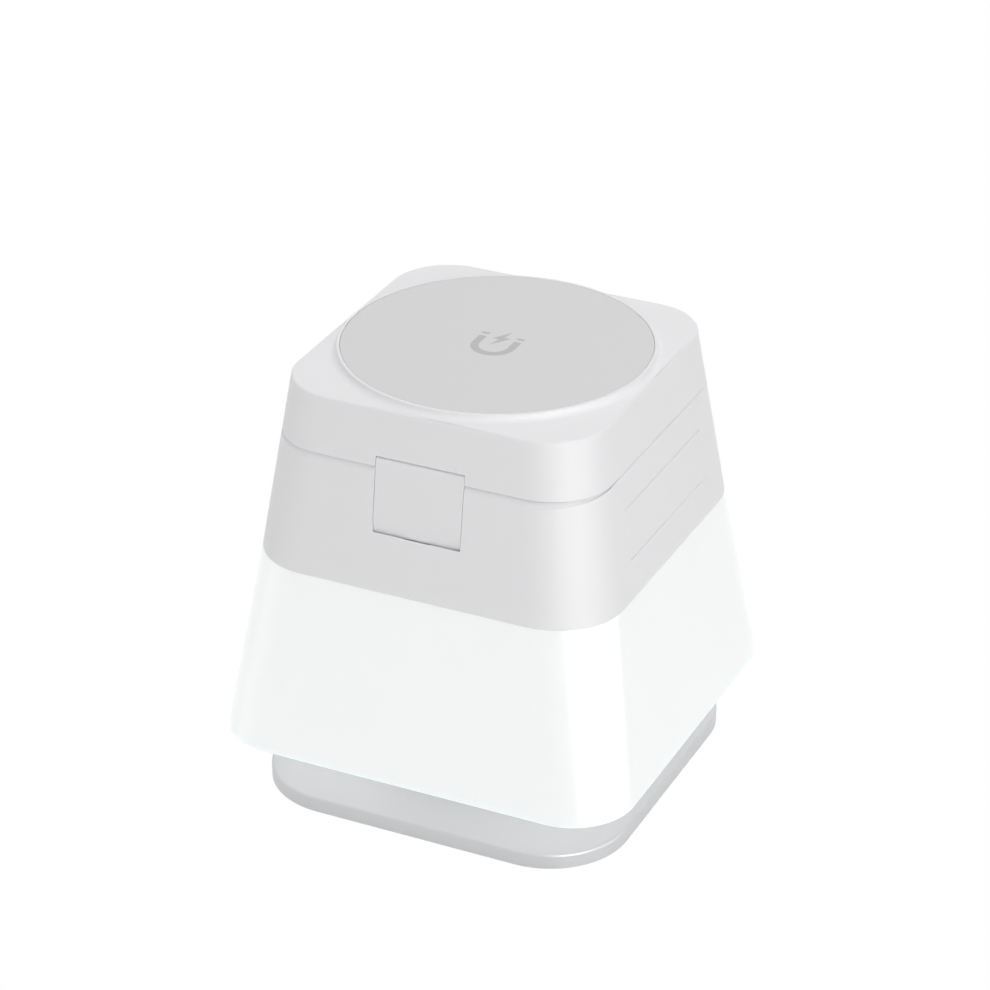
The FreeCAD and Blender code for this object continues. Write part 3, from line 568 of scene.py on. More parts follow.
def ferrite():
    """Pressed and fired ferrite powder: dense and dark, with a fine broken grain."""
    material, tree, coords = new_material("fired_ferrite")
    grit = add_node(tree, "ShaderNodeTexVoronoi", {"Vector": coords, "Scale": 1 / (0.25 * MM)})
    tone = add_node(tree, "ShaderNodeMapRange", {
        "Value": grit.outputs["Distance"], "To Min": 1.0, "To Max": 0.8})
    tint = add_node(tree, "ShaderNodeVectorMath", {
        0: linear("35363A")[:3], "Scale": tone.outputs["Result"]}, operation="SCALE")
    relief = add_node(tree, "ShaderNodeBump", {
        "Height": grit.outputs["Distance"], "Strength": 0.2, "Distance": 0.02 * MM})
    return finish_material(material, tree, Base_Color=tint.outputs["Vector"], Roughness=0.6,
                           Normal=relief.outputs["Normal"])


def phosphor():
    """Yellow phosphor over the lamp chips: a cloudy yellow under a clear, slightly glossy gel."""
    material, tree, coords = new_material("lamp_phosphor")
    grit = add_node(tree, "ShaderNodeTexNoise", {"Vector": coords, "Scale": 1 / (0.4 * MM)})
    blend = add_node(tree, "ShaderNodeMix", {
        "Factor": grit.outputs["Fac"], "A": linear("E8C94A"), "B": linear("F3E08A")},
        data_type="RGBA")
    return finish_material(material, tree, Base_Color=blend.outputs[2], Roughness=0.35, IOR=1.5)


def finish_of(name):
    """The shared finishes, each made once."""
    found = bpy.data.materials.get(name)
    if found:
        return found
    palette = colours()
    makers = {
        "white_abs": lambda: moulded_plastic(name, palette.shell, 0.25, 0.004 * MM),
        "opal_acrylic": opal_acrylic,
        "painted_glow_grey_abs": painted_glow_plate,
        "pale_grey_abs": lambda: moulded_plastic(name, palette.base, 0.42, 0.008 * MM),
        "matt_inner_abs": lambda: moulded_plastic(name, palette.inner, 0.5, 0.01 * MM),
        "grey_silicone": lambda: silicone(name, palette.pad, 0.55),
        "pad_ink": lambda: silicone(name, palette.symbol, 0.5),
        "foot_rubber": lambda: silicone(name, palette.rubber, 0.75),
        "zinc_plated_steel": lambda: rolled_steel(name, palette.steel, 0.32),
        "nickel_plated_magnet": lambda: rolled_steel(name, linear("B9B6AF"), 0.22),
        "enamelled_copper_wire": wound_wire,
        "green_circuit_board": lambda: circuit_board(name, "1E5B3A", "2F7A50"),
        "white_circuit_board": lambda: circuit_board(name, "E6E6E2", "D9D9D2"),
        "black_connector_plastic": lambda: moulded_plastic(name, linear("202124"), 0.45, 0.01 * MM),
        "fired_ferrite": ferrite,
        "lamp_phosphor": phosphor,
    }
    return makers[name]()


def finish_node(node, name):
    """Gives a CAD node its finish."""
    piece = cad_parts[node]
    piece.data.materials.clear()
    piece.data.materials.append(finish_of(name))


# Shapes shared by several pieces

def front_wedge(name, drop):
    """What a slope down to the front takes off the top of the body."""
    slope = drop / (half_at(BODY_HIGH.z) - BEVEL_START)
    low = BODY_HIGH.z - slope * (FAR - BEVEL_START)
    points = [(-BEVEL_START, BODY_HIGH.z), (-FAR, low), (-FAR, BODY_HIGH.z + FAR),
              (-BEVEL_START, BODY_HIGH.z + FAR)]
    return outline_solid(name, points, "X", -FAR, FAR)


def rim_chamfer():
    """What the chamfer takes off the rim: it grows from nothing at the sides to the front."""
    low = BODY_HIGH.z - BEVEL_DROP
    levels = [(z, CHAMFER_DEPTH * (z - low) / BEVEL_DROP) for z in (low - MM, BODY_HIGH.z + MM)]
    return combine(front_wedge("rim_chamfer", BEVEL_DROP), [stack("chamfer_core", tapered_rings(levels))])


def rim_step():
    """Step behind the rim's front lip, in which the lid's lower edge turns."""
    low = BODY_HIGH.z - RIM_STEP
    core = stack("rim_step", tapered_rings([(low, RIM_LIP), (BODY_HIGH.z + MM, RIM_LIP)]))
    back = upper_pin()[0] + RIM_STEP_BACK
    return combine(core, [block("behind_step", (-FAR, back, 0), (FAR, FAR, FAR * 2))])


def lower_pin():
    """Place of the lower hinge pin."""
    return (LOWER_PIN_LOW.y + LOWER_PIN_HIGH.y) / 2, (LOWER_PIN_LOW.z + LOWER_PIN_HIGH.z) / 2


def upper_pin():
    """Place of the upper hinge pin."""
    return (UPPER_PIN_LOW.y + UPPER_PIN_HIGH.y) / 2, (UPPER_PIN_LOW.z + UPPER_PIN_HIGH.z) / 2


def barrel_radius():
    """Radius of the link's barrel round the lower pin."""
    return lower_pin()[1] - LINK_LOW.z


def foot_curve(steps=24):
    """The tab's foot, which curves from the flat face downwards and inwards, as (y, z) points."""
    points = []
    for step in range(steps + 1):
        angle = math.radians(90 * step / steps)
        z = TAB_FOOT - FOOT_HEIGHT * math.sin(angle)
        points.append((FOOT_DEPTH * (1 - math.cos(angle)) - half_at(z), z))
    return points


def pocket_radius():
    """Room round the lower pin in which the tab's foot turns."""
    pin_y, pin_z = lower_pin()
    return max(math.hypot(y - pin_y, z - pin_z) for y, z in foot_curve()) + BARREL_GAP


def body_hinge_back():
    """Y of the back of the walls round the link's pocket."""
    return lower_pin()[0] + barrel_radius() + POCKET_BACK + HINGE_WALL


def lid_hinge_back():
    """Y of the back of the walls round the lid's notch."""
    pin_y, pin_z = upper_pin()
    return pin_y + (LINK_HIGH.z - pin_z) + POCKET_BACK + HINGE_WALL


def pocket_outline(top):
    """Section of the pocket from its back down round the pin to the lip, as (y, z) points."""
    pin_y, pin_z = lower_pin()
    radius, back = pocket_radius(), barrel_radius() + POCKET_BACK
    lip_z = pin_z - LIP_DROP
    corner = math.degrees(math.acos(back / radius))
    lip_angle = -112
    points = [(pin_y + back, top)] + arc(pin_y, pin_z, radius, -corner, lip_angle, 24)
    return points + [(-half_at(lip_z), lip_z), (-FAR, lip_z), (-FAR, top)]


def slanted_block(name, half_x, back, z_low, z_high, inset):
    """A block behind the slanted front face."""
    points = [(-half_at(z_low) + inset, z_low), (-half_at(z_high) + inset, z_high),
              (back, z_high), (back, z_low)]
    return outline_solid(name, points, "X", -half_x, half_x)


def turned_y(name, levels, x, z):
    """A turned piece along Y from (radius, y) pairs."""
    piece = stack(name, round_rings(levels), steps=SMALL_ROUND_STEPS)
    return place(piece, turn=(-90, 0, 0), move=(x, 0, z))


def capsule_y(name, levels, x, z):
    """A round-ended bar along Y from (half width, half height, y) levels."""
    rings = [(half_x, half_z, half_z * ROUND_END, y) for half_x, half_z, y in levels]
    piece = stack(name, rings)
    return place(piece, turn=(-90, 0, 0), move=(x, 0, z))


def hinge_room(half_x, back):
    """What the walls of a hinge pocket take out of the plate behind them."""
    half_x, back = half_x + PLATE_FIT, back + PLATE_FIT
    return block("hinge_room", (-half_x, -FAR, 0), (half_x, back, FAR * 2))


def four_places(reach):
    """The four corners of a square, as (x, y) places."""
    return [(side_x * reach, side_y * reach) for side_x in (-1, 1) for side_y in (-1, 1)]


def counterbores(places, low, high):
    """Room for screw heads between two levels."""
    bores = []
    for x, y in places:
        bore = stack("counterbore", round_rings([(SCREW_ROOM, low), (SCREW_ROOM, high)]), steps=HOLE_STEPS)
        bores.append(place(bore, move=(x, y, 0)))
    return bores


def screw(name, head):
    """A pan-head screw with a cross recess, its head bearing on level 0."""
    radius, shank, reach = 1.8 * MM, 1.0 * MM, 2.0 * MM
    edge, arm, slot, recess = 0.3 * MM, 1.05 * MM, 0.28 * MM, 0.45 * MM
    levels = [(shank, -reach), (shank, 0.0), (radius, 0.0), (radius, head - edge)]
    levels += arc(radius - edge, head - edge, edge, 30, 90, 3)
    piece = stack(name, round_rings(levels), steps=SCREW_STEPS)
    arms = [block(name, (-a, -b, head - recess), (a, b, head + MM)) for a, b in ((arm, slot), (slot, arm))]
    return soften(combine(piece, arms), METAL_EDGE, steps=2)


def screw_set(name, places, seat, head, upwards):
    """One screw copied to its places, as one piece, with the heads up or down."""
    first = place(screw(name, head), turn=(0 if upwards else 180, 0, 0))
    copies = []
    for x, y in places:
        copy = first.copy()
        copy.data = first.data.copy()
        bpy.context.scene.collection.objects.link(copy)
        copies.append(place(copy, move=(x, y, seat)))
    bpy.data.meshes.remove(first.data)
    piece = join_pieces(copies)
    piece.name = name
    return piece


# Operators, one for each piece or group of like pieces

class StationOperator(bpy.types.Operator):
    """Common options of the station's operators."""

    bl_options = {"REGISTER", "UNDO"}


class STATION_OT_foot(StationOperator):
    """Rubber pad under the foot plate"""

    bl_idname = "station.foot"
    bl_label = "Foot pad"

    def execute(self, context):
        half = FOOT_HIGH.x
        corner = sizes().base_corner - (BASE_HIGH.x - half)
        rim, hollow = 6 * MM, 0.25 * MM
        levels = [(rim, hollow), (rim, 0.0), (0.0, 0.0), (0.0, FOOT_HIGH.z)]
        rings = [(half - inset, half - inset, corner - inset, z) for inset, z in levels]
        piece = soften(stack("rubber_foot", rings), FINE_EDGE, steps=2)
        finish_piece(piece, "stand", ["foot_pad"], finish_of("foot_rubber"))
        return {"FINISHED"}


class STATION_OT_base(StationOperator):
    """Thin foot plate with a soft upper edge"""

    bl_idname = "station.base"
    bl_label = "Foot plate"

    def execute(self, context):
        settings = sizes()
        half, corner, edge = BASE_HIGH.x, settings.base_corner, settings.base_edge
        pad = half - FOOT_HIGH.x - PLATE_FIT
        weight = half - BALLAST_HIGH.x - PLATE_FIT
        low, low_edge = 0.1 * MM, 0.15 * MM
        levels = [(weight, BALLAST_HIGH.z), (weight, BALLAST_LOW.z), (pad, BALLAST_LOW.z)]
        levels += [(pad, low), (low_edge, low), (0.0, low + low_edge)]
        levels += [(edge - a, b) for a, b in arc(0.0, BASE_HIGH.z - edge, edge, 0, 90, 6)]
        rings = [(half - inset, half - inset, corner - inset, z) for inset, z in levels]
        piece = soften(stack("foot_plate", rings), 0.0)
        finish_piece(piece, "stand", ["base_plate"], finish_of("pale_grey_abs"))
        return {"FINISHED"}


class STATION_OT_neck(StationOperator):
    """Hidden column between foot plate and shade, with its four screws"""

    bl_idname = "station.neck"
    bl_label = "Neck"

    def execute(self, context):
        radius, wall, plate, fillet = 17.0 * MM, 2.2 * MM, 2.0 * MM, 0.8 * MM
        flange_low = NECK_HIGH.z - plate
        levels = [(radius - wall, NECK_LOW.z + plate), (radius - wall, NECK_HIGH.z)]
        levels += [(NECK_HIGH.x, NECK_HIGH.z), (NECK_HIGH.x, flange_low)]
        levels += arc(radius + fillet, flange_low - fillet, fillet, 90, 180, 5)
        levels += [(radius, NECK_LOW.z)]
        piece = soften(stack("neck_column", round_rings(levels)), INNER_EDGE)
        finish_piece(piece, "stand", ["neck"], finish_of("pale_grey_abs"))
        circle = 19.8 * MM
        places = [(circle, 0), (0, circle), (-circle, 0), (0, -circle)]
        screws = screw_set("neck_screw_set", places, flange_low, head=0.9 * MM, upwards=False)
        finish_piece(screws, "stand", ["neck_screws"], finish_of("zinc_plated_steel"))
        return {"FINISHED"}


class STATION_OT_shade(StationOperator):
    """Opal skirt, one moulding with its top plate"""

    bl_idname = "station.shade"
    bl_label = "Lamp shade"

    def execute(self, context):
        plate = 2.0 * MM
        rim = 0.5 * MM
        low, high = SHADE_LOW.z, SHADE_HIGH.z
        levels = [(high - plate, SHADE_WALL), (low + rim, SHADE_WALL)]
        levels += [(b, a) for a, b in arc(SHADE_WALL - rim, low + rim, rim, 0, -90, 4)][1:]
        levels += [(b, rim + a) for a, b in arc(0.0, low + rim, rim, -90, -180, 4)]
        levels += [(high, 0.0)]
        piece = soften(stack("opal_skirt", tapered_rings(levels)), PAD_EDGE, angle=50)
        finish_piece(piece, "stand", ["shade"], finish_of("opal_acrylic"))
        return {"FINISHED"}


class STATION_OT_body(StationOperator):
    """White middle shell with its hinge pocket and openings"""

    bl_idname = "station.body"
    bl_label = "Body shell"

    def execute(self, context):
        low, high, floor = BODY_LOW.z, BODY_HIGH.z, 2.0 * MM
        levels = [(low, 0.0), (high, 0.0), (high, BODY_WALL), (low + floor, BODY_WALL)]
        piece = stack("body_moulding", tapered_rings(levels))
        wall_low = lower_pin()[1] - pocket_radius() - HINGE_WALL
        wall_inset = 0.8 * MM
        combine(piece, [slanted_block("hinge_wall", LOWER_PIN_HIGH.x, body_hinge_back(), wall_low,
                                      high + MM, wall_inset)], "UNION")
        cutters = [rim_chamfer(), front_wedge("front_slope", DECK_DROP), rim_step()]
        combine(piece, cutters + self.front_openings(high) + self.other_openings())
        soften(piece, sizes().mould_edge)
        finish_piece(piece, "stand", ["body_shell"], finish_of("white_abs"))
        return {"FINISHED"}

    def front_openings(self, high):
        """The link's pocket, and the narrow slot under its lip."""
        pin_y, pin_z = lower_pin()
        notch = LINK_HIGH.x + NOTCH_SIDE
        pocket = outline_solid("pocket", pocket_outline(high + FAR), "X", -notch, notch)
        lip_z = pin_z - LIP_DROP
        slot_half, mouth, behind, depth = 2.7 * MM, 0.3 * MM, 0.8 * MM, 2.5 * MM
        slot = block("slot", (-slot_half, -FAR, lip_z - mouth), (slot_half, pin_y, pin_z))
        deep_slot = block("deep_slot", (-slot_half, -half_at(lip_z) + behind, lip_z - depth),
                          (slot_half, pin_y, pin_z))
        return [pocket, slot, deep_slot]

    def other_openings(self):
        """Openings for the drawer at the right, and for the inlet and the button at the back."""
        inside, top_gap, gap, port_gap = 20 * MM, 0.06 * MM, 0.03 * MM, 0.25 * MM
        drawer = block("drawer_opening", (inside, DRAWER_LOW.y - gap, DRAWER_LOW.z - gap),
                       (FAR, DRAWER_HIGH.y + gap, DRAWER_HIGH.z + top_gap))
        middle, half = (INLET_LOW + INLET_HIGH) / 2, (INLET_HIGH - INLET_LOW) / 2
        mouth = [(half.x + port_gap, half.z + port_gap, y) for y in (inside, FAR)]
        inlet = capsule_y("inlet_opening", mouth, middle.x, middle.z)
        middle, hole = (BUTTON_LOW + BUTTON_HIGH) / 2, BUTTON_RADIUS + port_gap
        button = turned_y("button_opening", [(hole, inside), (hole, FAR)], middle.x, middle.z)
        return [drawer, inlet, button]


class STATION_OT_deck(StationOperator):
    """Deck under the lid with its earbud pad and screws"""

    bl_idname = "station.deck"
    bl_label = "Deck and earbud pad"

    def execute(self, context):
        thick, screw_depth, screw_reach, pad_corner = 2.4 * MM, 1.5 * MM, 25.5 * MM, 8.0 * MM
        levels = [(z, BODY_WALL + PLATE_FIT) for z in (BODY_HIGH.z - thick, BODY_HIGH.z)]
        piece = stack("deck_plate", tapered_rings(levels))
        recess = (PAD_HIGH.x + PLATE_FIT, PAD_HIGH.y + PLATE_FIT, pad_corner + PLATE_FIT)
        seat, places = BODY_HIGH.z - screw_depth, four_places(screw_reach)
        cutters = [front_wedge("front_slope", DECK_DROP), hinge_room(LOWER_PIN_HIGH.x, body_hinge_back()),
                   stack("pad_recess", [(*recess, PAD_LOW.z), (*recess, FAR * 2)])]
        combine(piece, cutters + counterbores(places, seat, FAR * 2))
        soften(piece, INNER_EDGE)
        finish_piece(piece, "stand", ["top_deck"], finish_of("matt_inner_abs"))
        self.add_pad(pad_corner)
        screws = screw_set("deck_screw_set", places, seat, head=0.8 * MM, upwards=True)
        finish_piece(screws, "stand", ["deck_screws"], finish_of("zinc_plated_steel"))
        return {"FINISHED"}

    def add_pad(self, corner):
        """Earbud pad with a shallow dish inside its rim."""
        rim, dish = 1.6 * MM, 0.3 * MM
        levels = [(0.0, PAD_LOW.z), (0.0, PAD_HIGH.z), (rim, PAD_HIGH.z), (rim, PAD_HIGH.z - dish)]
        rings = [(PAD_HIGH.x - inset, PAD_HIGH.y - inset, corner - inset, z) for inset, z in levels]
        pad = soften(stack("earbud_rest", rings), PAD_EDGE)
        finish_piece(pad, "stand", ["earbud_pad"], finish_of("grey_silicone"))


class STATION_OT_link(StationOperator):
    """Flush hinge tab in the front face"""

    bl_idname = "station.link"
    bl_label = "Hinge tab"

    def execute(self, context):
        pin_y, pin_z = lower_pin()
        top_y, top_z = upper_pin()
        knuckle = TAB_TOP - top_z
        chamfer = 0.3 * MM
        points = foot_curve() + arc(pin_y, pin_z, barrel_radius(), -45, 0, 8)
        points += arc(top_y, top_z, knuckle, 0, 90, 8)
        points += [(-half_at(TAB_TOP) + chamfer, TAB_TOP)]
        points += [(-half_at(TAB_TOP - chamfer), TAB_TOP - chamfer)]
        piece = outline_solid("hinge_tab", points, "X", LINK_LOW.x, LINK_HIGH.x)
        soften(piece, FINE_EDGE, angle=40)
        finish_piece(piece, "link", ["hinge_link"], finish_of("white_abs"))
        return {"FINISHED"}


class STATION_OT_lid(StationOperator):
    """Lid with its round collar, underside plate and screws"""

    bl_idname = "station.lid"
    bl_label = "Lid"

    def execute(self, context):
        settings = sizes()
        low, high, edge = BODY_HIGH.z + SEAM_GAP, LID_TOP, settings.lid_edge
        levels = [(low, 0.0)]
        levels += [(b, edge - a) for a, b in arc(0.0, high - edge, edge, 0, 90, 6)]
        piece = stack("lid_moulding", tapered_rings(levels))
        combine(piece, [self.collar(high - edge)], "UNION")
        skin, recess_gap = 1.3 * MM, 0.05 * MM
        hollow = stack("hollow", tapered_rings([(low - MM, LID_WALL), (DISC_LOW.z - skin, LID_WALL)]))
        hinge_top, back = TAB_TOP + NOTCH_TOP, lid_hinge_back()
        combine(hollow, [block("hinge_wall", (-UPPER_PIN_HIGH.x, -FAR, 0),
                               (UPPER_PIN_HIGH.x, back, hinge_top + HINGE_WALL))])
        notch = LINK_HIGH.x + NOTCH_SIDE
        recess = DISC_HIGH.x + recess_gap
        cutters = [hollow, block("notch", (-notch, -FAR, 0), (notch, back - HINGE_WALL, hinge_top)),
                   stack("pad_recess", round_rings([(recess, DISC_LOW.z), (recess, FAR * 2)]))]
        combine(piece, cutters)
        soften(piece, settings.mould_edge, angle=40)
        finish_piece(piece, "lid", ["lid_shell"], finish_of("white_abs"))
        self.add_floor()
        return {"FINISHED"}

    def collar(self, low):
        """Round collar with a hollow curve at its foot and a small rounding at its top."""
        radius, edge, shortest = 29.65 * MM, 0.2 * MM, 0.2 * MM
        foot = min(sizes().collar_foot, COLLAR_RISE - shortest)
        profile = [(radius + foot, low)] + arc(radius + foot, LID_TOP + foot, foot, 270, 180, 8)
        profile += arc(radius - edge, LID_HIGH.z - edge, edge, 0, 90, 3)
        return stack("collar", round_rings(profile))

    def add_floor(self):
        """Plate under the lid, held by four screws from below."""
        thick, screw_depth, screw_reach = 2.0 * MM, 1.0 * MM, 24.0 * MM
        low, inset = LID_FLOOR_LOW.z, LID_WALL + PLATE_FIT
        piece = stack("lid_underside", tapered_rings([(low, inset), (low + thick, inset)]))
        seat, places = low + screw_depth, four_places(screw_reach)
        combine(piece, [hinge_room(UPPER_PIN_HIGH.x, lid_hinge_back())] + counterbores(places, 0.0, seat))
        soften(piece, INNER_EDGE)
        finish_piece(piece, "lid", ["lid_floor"], finish_of("matt_inner_abs"))
        screws = screw_set("lid_screw_set", places, seat, head=0.9 * MM, upwards=False)
        finish_piece(screws, "lid", ["lid_screws"], finish_of("zinc_plated_steel"))


class STATION_OT_charging_pad(StationOperator):
    """Grey charging pad with its magnet-and-bolt symbol laid flush"""

    bl_idname = "station.charging_pad"
    bl_label = "Charging pad"

    def execute(self, context):
        radius, low, high = DISC_HIGH.x, DISC_LOW.z, DISC_HIGH.z
        edge = 0.2 * MM
        levels = [(radius, low)] + arc(radius - edge, high - edge, edge, 0, 90, 4)
        pad = stack("charging_pad", round_rings(levels))
        depth = 0.15 * MM
        symbol = self.symbol("pad_symbol", high - depth, high)
        combine(pad, [self.symbol("symbol_bed", high - depth, high + MM)])
        soften(pad, 0.0)
        finish_piece(pad, "lid", ["charge_disc"], finish_of("grey_silicone"))
        finish_piece(symbol, "lid", ["disc_mark"], finish_of("pad_ink"))
        return {"FINISHED"}

    def symbol(self, name, low, high):
        """Horseshoe magnet with two tips and a bolt between its legs."""
        outer, width, bend, leg_top = 4.3 * MM, 1.5 * MM, -1.5 * MM, 1.5 * MM
        tip_low, tip_high = 2.3 * MM, 3.1 * MM
        inner = outer - width
        horseshoe = [(outer, leg_top)] + arc(0.0, bend, outer, 0, -180, 32) + [(-outer, leg_top)]
        horseshoe += [(-inner, leg_top)] + arc(0.0, bend, inner, -180, 0, 24) + [(inner, leg_top)]
        pieces = [outline_solid(name, horseshoe, "Z", low, high)]
        for side in (-1, 1):
            left, right = sorted((side * inner, side * outer))
            tip = [(left, tip_low), (right, tip_low), (right, tip_high), (left, tip_high)]
            pieces.append(outline_solid(name + "_tip", tip, "Z", low, high))
        bolt = ((1.0, 4.9), (-1.5, 1.2), (-0.15, 1.2), (-0.9, -1.6), (1.8, 2.2), (0.45, 2.2))
        bolt = [(x * MM, y * MM) for x, y in bolt]
        pieces.append(outline_solid(name + "_bolt", bolt, "Z", low, high))
        return join_pieces(pieces)


class STATION_OT_drawer(StationOperator):
    """Watch drawer and its charging cup"""

    bl_idname = "station.drawer"
    bl_label = "Watch drawer"

    def execute(self, context):
        low, high = DRAWER_LOW.z, DRAWER_HIGH.z
        thick, wall, floor, side_step, top_step = 2.2 * MM, 1.4 * MM, 1.4 * MM, 0.3 * MM, 2.0 * MM
        corner, hollow_corner = 1.0 * MM, 1.5 * MM
        points = [(half_at(low), low), (half_at(high), high), (half_at(high) - thick, high),
                  (half_at(low) - thick, low)]
        front = outline_solid("watch_drawer", points, "Y", DRAWER_LOW.y, DRAWER_HIGH.y)
        soften(front, sizes().mould_edge)
        tray_half, tray_top = DRAWER_HIGH.y - side_step, high - top_step
        back, reach = DRAWER_LOW.x, half_at(high) - thick / 2
        tray = self.rounded_bar("tray", back, reach, tray_half, corner, low, tray_top)
        reach = half_at(tray_top) - thick - wall
        combine(tray, [self.rounded_bar("tray_hollow", back + wall, reach, tray_half - wall,
                                        hollow_corner, low + floor, high)])
        combine(front, [tray], "UNION")
        soften(front, sizes().mould_edge)
        finish_piece(front, "drawer", ["drawer_tray"], finish_of("white_abs"))
        self.add_cup(low + floor)
        return {"FINISHED"}

    def rounded_bar(self, name, back, reach, half_y, corner, low, high):
        """An upright rounded rectangle from its back to its reach along X."""
        half_x = (reach - back) / 2
        bar = stack(name, [(half_x, half_y, corner, z) for z in (low, high)])
        return place(bar, move=((back + reach) / 2, 0, 0))

    def add_cup(self, low):
        """Round charging cup with a shallow dish for the watch's back."""
        radius, top, dish = PUCK_HIGH.y, PUCK_HIGH.z, sizes().dish_depth
        wall, rim, dish_steps = 1.2 * MM, 0.5 * MM, 9
        dish_radius = radius - wall
        levels = [(dish_radius, top - wall - dish), (dish_radius, low), (radius, low), (radius, top - rim)]
        levels += arc(radius - rim, top - rim, rim, 18, 90, 5)
        for step in range(dish_steps):
            share = 1 - step / dish_steps
            levels.append((dish_radius * share, top - dish * (1 - share ** 2)))
        cup = stack("watch_cup", round_rings(levels))
        place(cup, move=((PUCK_LOW.x + PUCK_HIGH.x) / 2, 0, 0))
        soften(cup, 0.0)
        finish_piece(cup, "drawer", ["watch_puck"], finish_of("matt_inner_abs"))


class STATION_OT_button(StationOperator):
    """Light button in the back face"""

    bl_idname = "station.button"
    bl_label = "Light button"

    def execute(self, context):
        centre = (BUTTON_LOW + BUTTON_HIGH) / 2
        flange, thick, edge = BUTTON_HIGH.x - centre.x, 0.9 * MM, 0.3 * MM
        back, tip = BUTTON_LOW.y, BUTTON_HIGH.y
        finger_dish = ((1.9, 0.08), (1.0, 0.2), (0.3, 0.25))
        levels = [(flange, back), (flange, back + thick), (BUTTON_RADIUS, back + thick)]
        levels += arc(BUTTON_RADIUS - edge, tip - edge, edge, 0, 90, 5)
        levels += [(radius * MM, tip - depth * MM) for radius, depth in finger_dish]
        piece = soften(turned_y("lamp_button", levels, centre.x, centre.z), 0.0)
        finish_piece(piece, "button", ["light_button"], finish_of("white_abs"))
        return {"FINISHED"}


class STATION_OT_inlet(StationOperator):
    """Metal mouth of the power inlet"""

    bl_idname = "station.inlet"
    bl_label = "Power inlet"

    def execute(self, context):
        centre = (INLET_LOW + INLET_HIGH) / 2
        half_x = (INLET_HIGH.x - INLET_LOW.x) / 2
        half_z = (INLET_HIGH.z - INLET_LOW.z) / 2
        wall, flare = 0.3 * MM, 0.12 * MM
        back, mouth = INLET_LOW.y, INLET_HIGH.y
        levels = [(half_x, half_z, back), (half_x, half_z, mouth)]
        levels += [(half_x - wall + flare, half_z - wall + flare, mouth)]
        levels += [(half_x - wall, half_z - wall, mouth - flare * 2)]
        levels += [(half_x - wall, half_z - wall, back + wall)]
        piece = soften(capsule_y("inlet_shell", levels, centre.x, centre.z), METAL_EDGE, steps=2)
        finish_piece(piece, "stand", ["usb_socket"], finish_of("zinc_plated_steel"))
        return {"FINISHED"}


class STATION_OT_inner_finishes(StationOperator):
    """Finishes of the CAD nodes that stay as they are"""

    bl_idname = "station.inner_finishes"
    bl_label = "Inner finishes"

    FINISHES = {
        "ballast_plate": "zinc_plated_steel",
        "base_screws": "zinc_plated_steel",
        # Painted glow on the plate under the shade
        "shade_floor": "painted_glow_grey_abs",
        "led_board": "white_circuit_board",
        "leds": "lamp_phosphor",
        "led_screws": "zinc_plated_steel",
        "led_connector": "black_connector_plastic",
        "body_screws": "zinc_plated_steel",
        "main_board": "green_circuit_board",
        "board_parts": "black_connector_plastic",
        "board_screws": "zinc_plated_steel",
        "usb_tongue": "black_connector_plastic",
        "tact_switch": "black_connector_plastic",
        "drawer_guide": "matt_inner_abs",
        "guide_screws": "zinc_plated_steel",
        "watch_coil": "enamelled_copper_wire",
        "watch_magnet": "nickel_plated_magnet",
        "earbud_coil": "enamelled_copper_wire",
        "earbud_ferrite": "fired_ferrite",
        "lower_pin": "zinc_plated_steel",
        "upper_pin": "zinc_plated_steel",
        "lid_board": "green_circuit_board",
        "phone_coil": "enamelled_copper_wire",
        "ferrite_disc": "fired_ferrite",
        "magnet_ring": "nickel_plated_magnet",
        "magnet_yoke": "zinc_plated_steel",
    }

    def execute(self, context):
        for node, finish in self.FINISHES.items():
            finish_node(node, finish)
        return {"FINISHED"}


